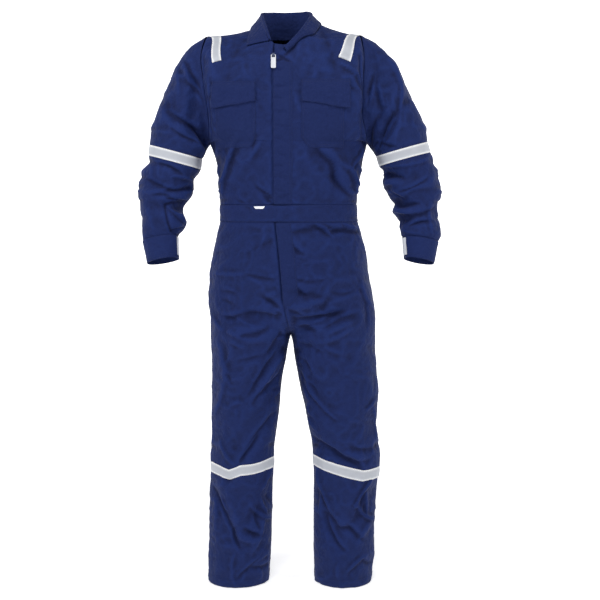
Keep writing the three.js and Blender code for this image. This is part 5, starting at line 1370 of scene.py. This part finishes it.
# Labels
grid = patch_grid(behind, flat(-17), flat(5), flat(1564), flat(1575), 22, 11, 2.0, start=-20.0)
body, outer = patch("neck_label", grid, 1, CLOTH + 6.0, 0.7, "label")
is_sheet(body, "laid", ["bodice_back"])
grid = patch_grid(waist, lambda w: -93 - 5 * w, lambda w: -72 + 5 * w, flat(1081.5), flat(1088), 29, 6.5, 2.0)
body, outer = patch("waist_label", grid, 1, 1.3, 0.7, "label")
is_sheet(body, "laid", ["waistband_front"])

# Zip tape and its teeth
grid = patch_grid(chest, flat(-51), flat(-29), flat(1097), flat(1500), 22, 403)
body, outer = patch("zip_tape", grid, -1, CLOTH + 0.4, 0.7, "navy_cloth")
is_sheet(body, "hung", ["bodice_front_right", "bodice_front_left"])
stitch(outer, -1, "first", 9.4, "teeth")
stitch(outer, -1, "last", 9.4, "teeth")


# A smooth surface through a grid of points
def through(points, per):
    points = np.asarray(points, float)
    count = len(points)
    at = np.linspace(0, count - 1, (count - 1) * per + 1)
    k = np.minimum(at.astype(int), count - 2)
    t = (at - k)[(...,) + (None,) * (points.ndim - 1)]
    before, after = points[np.maximum(k - 1, 0)], points[np.minimum(k + 2, count - 1)]
    low, high = points[k], points[k + 1]
    a, b = t * t, t * t * t
    return (
        (2 * b - 3 * a + 1) * low + (b - 2 * a + t) * (high - before) / 2
        + (3 * a - 2 * b) * high + (b - a) * (after - low) / 2
    )


# Collar
shell = Skin(
    *((BODICE[side, "front"], body_columns[::2], body_rows[::2], MIRROR[side]) for side in MIRROR),
    *((BODICE[side, "back"], body_columns[::2], body_rows[::2], -MIRROR[side]) for side in MIRROR),
)


def clear(place, height):
    out = np.array(place, float)
    for spot_ in np.ndindex(out.shape[:-1]):
        found, facing, unused, far = shell.tree.find_nearest(Vector(out[spot_]))
        above = (Vector(out[spot_]) - found).dot(facing)
        wanted = height if np.isscalar(height) else height[spot_]
        if far < 30 and above < wanted:
            out[spot_] += np.array(facing) * (wanted - above)
    return out


UP = np.array((0.0, 0.0, 1.0))
CREST = ((0.18, 0.75), (0.5, 1), (0.82, 0.75), (1, -0.2))  # points over the fold, outwards and up
STAND_DROP = np.array((0, -3.0, -37))  # of the stand's foot at the back
profiles = []
for side, where, at, fold, leaf in COLLAR:
    if side:
        neck = upper_edge(side, where, at) + (0, 0, 1)
    else:
        neck = clear(where, 2.2)
    fold = np.array(fold, float)
    if where == "back":
        neck = neck + STAND_DROP * smooth((0.52 - at) / 0.12)
    leaf = clear(leaf, 3.4)
    aside = unit(np.array((leaf[0] - neck[0], leaf[1] - neck[1], 0)))
    size = min(1, np.linalg.norm(fold - leaf) / 24)
    crest = [fold + aside * 7 * size * out + UP * 3.5 * size * up for out, up in CREST]
    fall = [clear(lerp(crest[-1], leaf, share) + aside * 3 * size, 2.6) for share in (0.35, 0.7)]
    profiles.append([neck, lerp(neck, fold, 0.5), fold, *crest, *fall, leaf])
grid = through(through(np.array(profiles), 9).swapaxes(0, 1), 6)
outward = -1
normal = normals_of(grid, outward)
share = np.linspace(0, 9, len(grid))
height = np.where(share > 5.2, 0.8 + 2.4, -50)[:, None] * np.ones(grid.shape[1])
soft = 0.9 * noise(grid, 34, 7.7) + 0.35 * ridged(grid, 22, 1.1)
free = smooth((share - 0.5) / 2)[:, None]
grid = grid + normal * (soft * free)[..., None]
grid = clear(grid, height)
normal = normals_of(grid, outward)
far = edges_of(grid)
edge = np.minimum.reduce([far["top"], far["first"], far["last"]])
thick = 2.4 * (0.5 + 0.5 * smooth(edge / 2))
outer = grid + normal * (-0.5 * near(edge - 6, 1.1))[..., None]
inner = outer - normal * thick[..., None]
collar = sheet_mesh("collar", outer, inner, outward, marks=ridges_of(outer, normal))
finish_piece(collar, "navy_cloth", "collar")
is_sheet(collar, "folded", ["bodice_back"])
for side_edge in ("top", "first", "last"):
    stitch(outer, outward, side_edge, 6)

for name, slot in (("zip_slider", "zip_metal"), ("zip_pull_tab", "pull_tab")):
    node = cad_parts[name]
    node.data.materials.clear()
    node.data.materials.append(MATERIALS[slot])


# Stitches: short grains of thread along every sewn line
def stitching():
    tree = bpy.data.node_groups.new("stitches", "GeometryNodeTree")
    ports = tree.interface
    for name, kind in (
        ("Geometry", "Geometry"), ("Pitch", "Float"), ("Length", "Float"), ("Width", "Float"),
        ("Seed", "Int"), ("Finish", "Material"),
    ):
        ports.new_socket(name, in_out="INPUT", socket_type=f"NodeSocket{kind}")
    ports.new_socket("Geometry", in_out="OUTPUT", socket_type="NodeSocketGeometry")

    def node(kind, values=None, **settings):
        made = tree.nodes.new(kind)
        for name, setting in settings.items():
            setattr(made, name, setting)
        for name, value in (values or {}).items():
            if isinstance(value, bpy.types.NodeSocket):
                tree.links.new(value, made.inputs[name])
            else:
                made.inputs[name].default_value = value
        return made

    entry = node("NodeGroupInput").outputs
    away = node("GeometryNodeInputNamedAttribute", {"Name": "away"}, data_type="FLOAT_VECTOR").outputs[0]
    curve = node("GeometryNodeMeshToCurve", {"Mesh": entry["Geometry"]}).outputs[0]
    even = node(
        "GeometryNodeResampleCurve", {"Curve": curve, "Length": entry["Pitch"]}, mode="LENGTH",
    ).outputs[0]
    grain = node("GeometryNodeMeshIcoSphere", {"Radius": 0.5, "Subdivisions": 1}).outputs[0]
    tangent = node("GeometryNodeInputTangent").outputs[0]
    turn = node(
        "FunctionNodeAxesToRotation", {0: away, 1: tangent}, primary_axis="Z", secondary_axis="X",
    ).outputs[0]
    chance = node(
        "FunctionNodeRandomValue", {2: 0.85, 3: 1.1, "Seed": entry["Seed"]}, data_type="FLOAT",
    ).outputs[1]
    longer = node("ShaderNodeMath", {0: entry["Length"], 1: chance}, operation="MULTIPLY").outputs[0]
    size = node("ShaderNodeCombineXYZ", {0: longer, 1: entry["Width"], 2: entry["Width"]}).outputs[0]
    placed = node(
        "GeometryNodeInstanceOnPoints", {"Points": even, "Instance": grain, "Rotation": turn, "Scale": size},
    ).outputs[0]
    solid = node("GeometryNodeRealizeInstances", {0: placed}).outputs[0]
    painted = node("GeometryNodeSetMaterial", {"Geometry": solid, "Material": entry["Finish"]}).outputs[0]
    node("NodeGroupOutput", {"Geometry": painted})
    return tree


def by_name(tree, name):
    return next(s.identifier for s in tree.interface.items_tree if s.name == name and s.in_out == "INPUT")


STITCHING = stitching()
for part, pitch, length, width, finish in (
    ("sewing_upper", 0.0034, 0.0026, 0.0006, "thread"),
    ("sewing_lower", 0.0034, 0.0026, 0.0006, "thread"),
    ("zip_teeth", 0.0024, 0.0012, 0.003, "zip_metal"),
):
    points, aways, pairs = [], [], []
    for where, run, away in THREAD:
        if where not in part:
            continue
        pairs += [(len(points) + k, len(points) + k + 1) for k in range(len(run) - 1)]
        points.extend(run)
        aways.extend(away)
    mesh = bpy.data.meshes.new(part)
    mesh.from_pydata((np.array(points) - (0, 0, HOLD)) / 1000, pairs, [])
    mesh.attributes.new("away", "FLOAT_VECTOR", "POINT").data.foreach_set("vector", np.array(aways).ravel())
    body = bpy.data.objects.new(part, mesh)
    bpy.context.collection.objects.link(body)
    modifier = body.modifiers.new("rows", "NODES")
    modifier.node_group = STITCHING
    for name, value in (
        ("Pitch", pitch), ("Length", length), ("Width", width), ("Seed", 5), ("Finish", MATERIALS[finish]),
    ):
        modifier[by_name(STITCHING, name)] = value
    made = bpy.data.meshes.new_from_object(body.evaluated_get(bpy.context.evaluated_depsgraph_get()))
    body.modifiers.clear()
    body.data = made
    made.materials.clear()
    made.materials.append(MATERIALS[finish])
    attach(body, "suit")

# Floor and backdrop in one sweep
FLAT_TO, BEND = 5000, 1500  # where the floor starts to curve up, and the curve's radius
rising = np.linspace(0, np.pi / 2, 12)[1:]
depth = np.concatenate([np.linspace(-7000, FLAT_TO, 13), FLAT_TO + BEND * np.sin(rising), [FLAT_TO + BEND]])
rise = np.concatenate([np.zeros(13), BEND - BEND * np.cos(rising), [6500]])
wide = np.linspace(-7000, 7000, 8)
sweep = point(wide[None], depth[:, None], rise[:, None] - 1.5)
index = np.arange(sweep.shape[0] * sweep.shape[1]).reshape(sweep.shape[:2])
quads = np.stack([index[:-1, :-1], index[:-1, 1:], index[1:, 1:], index[1:, :-1]], -1).reshape(-1, 4)
floor = place_mesh("sweep", sweep.reshape(-1, 3), quads)
floor.data.materials.append(MATERIALS["paper"])

# Light and camera
world = bpy.data.worlds.new("studio")
bpy.context.scene.world = world
world.use_nodes = True
world.node_tree.nodes["Background"].inputs["Color"].default_value = (1, 1, 1, 1)
world.node_tree.nodes["Background"].inputs["Strength"].default_value = 0.1


def softbox(name, place, aim, width, height, watts):
    light = bpy.data.lights.new(name, "AREA")
    light.shape, light.size, light.size_y, light.energy = "RECTANGLE", width, height, watts
    lamp = bpy.data.objects.new(name, light)
    lamp.location = place
    lamp.rotation_euler = (Vector(aim) - Vector(place)).to_track_quat("-Z", "Y").to_euler()
    bpy.context.collection.objects.link(lamp)


softbox("softbox_left", (-2.2, -1.4, 0.5), (0, 0, -0.8), 0.6, 1.4, 28)
softbox("softbox_right", (2.2, -1.3, 0.4), (0, 0, -0.8), 0.6, 1.4, 24)
softbox("softbox_top", (-0.2, -1.5, 1.9), (0, 0, -0.8), 0.8, 0.6, 36)
softbox("back_light_left", (-2.4, 1.6, 0.6), (0, 0, -0.7), 0.8, 1.4, 14)
softbox("back_light_right", (2.4, 1.6, 0.6), (0, 0, -0.7), 0.8, 1.4, 14)

camera = bpy.data.objects.new("camera", bpy.data.cameras.new("camera"))
camera.data.sensor_width = 36
camera.data.lens = 61.26
camera.location = (0.028, -2.9, -0.410)
camera.rotation_euler = (math.radians(90 - 6.1), 0, 0)
camera.data.clip_end = 100
bpy.context.collection.objects.link(camera)
bpy.context.scene.camera = camera
bpy.context.scene.view_settings.view_transform = "Standard"

# The flat size that each cloth piece is cut to without its turnings, in metres, and its area
CUTS = {
    "trouser_front_right": (0.304, 1.096, 0.3289),
    "trouser_back_right": (0.294, 1.109, 0.3251),
    "knee_tape_right": (0.597, 0.031, 0.0181),
    "trouser_front_left": (0.317, 1.105, 0.3491),
    "trouser_back_left": (0.296, 1.112, 0.3286),
    "knee_tape_left": (0.603, 0.032, 0.0187),
    "waistband_front": (0.524, 0.048, 0.025),
    "waistband_back": (0.498, 0.048, 0.0237),
    "bodice_front_right": (0.242, 0.555, 0.1236),
    "bodice_front_left": (0.304, 0.556, 0.1542),
    "bodice_back": (0.511, 0.562, 0.2684),
    "sleeve_right": (0.498, 0.481, 0.239),
    "sleeve_tape_right": (0.493, 0.03, 0.0148),
    "sleeve_left": (0.49, 0.507, 0.2472),
    "sleeve_tape_left": (0.493, 0.03, 0.0145),
    "cuff_right": (0.305, 0.065, 0.0197),
    "cuff_strip_right": (0.032, 0.052, 0.0016),
    "cuff_left": (0.3, 0.062, 0.0183),
    "cuff_strip_left": (0.031, 0.049, 0.0015),
    "chest_pocket_right": (0.113, 0.168, 0.0188),
    "pocket_flap_right": (0.123, 0.066, 0.0079),
    "chest_pocket_left": (0.12, 0.167, 0.0192),
    "pocket_flap_left": (0.136, 0.07, 0.0093),
    "placket": (0.054, 0.387, 0.0207),
    "fly_flap": (0.045, 0.234, 0.0099),
    "shoulder_tape_right": (0.026, 0.302, 0.0076),
    "shoulder_tape_left": (0.028, 0.309, 0.0085),
    "neck_label": (0.023, 0.013, 0.00028),
    "waist_label": (0.028, 0.011, 0.00018),
    "zip_tape": (0.023, 0.408, 0.009),
    "collar": (0.57, 0.1, 0.053),
}
for body, held, rests_on in SHEETS:
    width, length, area = CUTS[body.name.removeprefix("sewn_")]
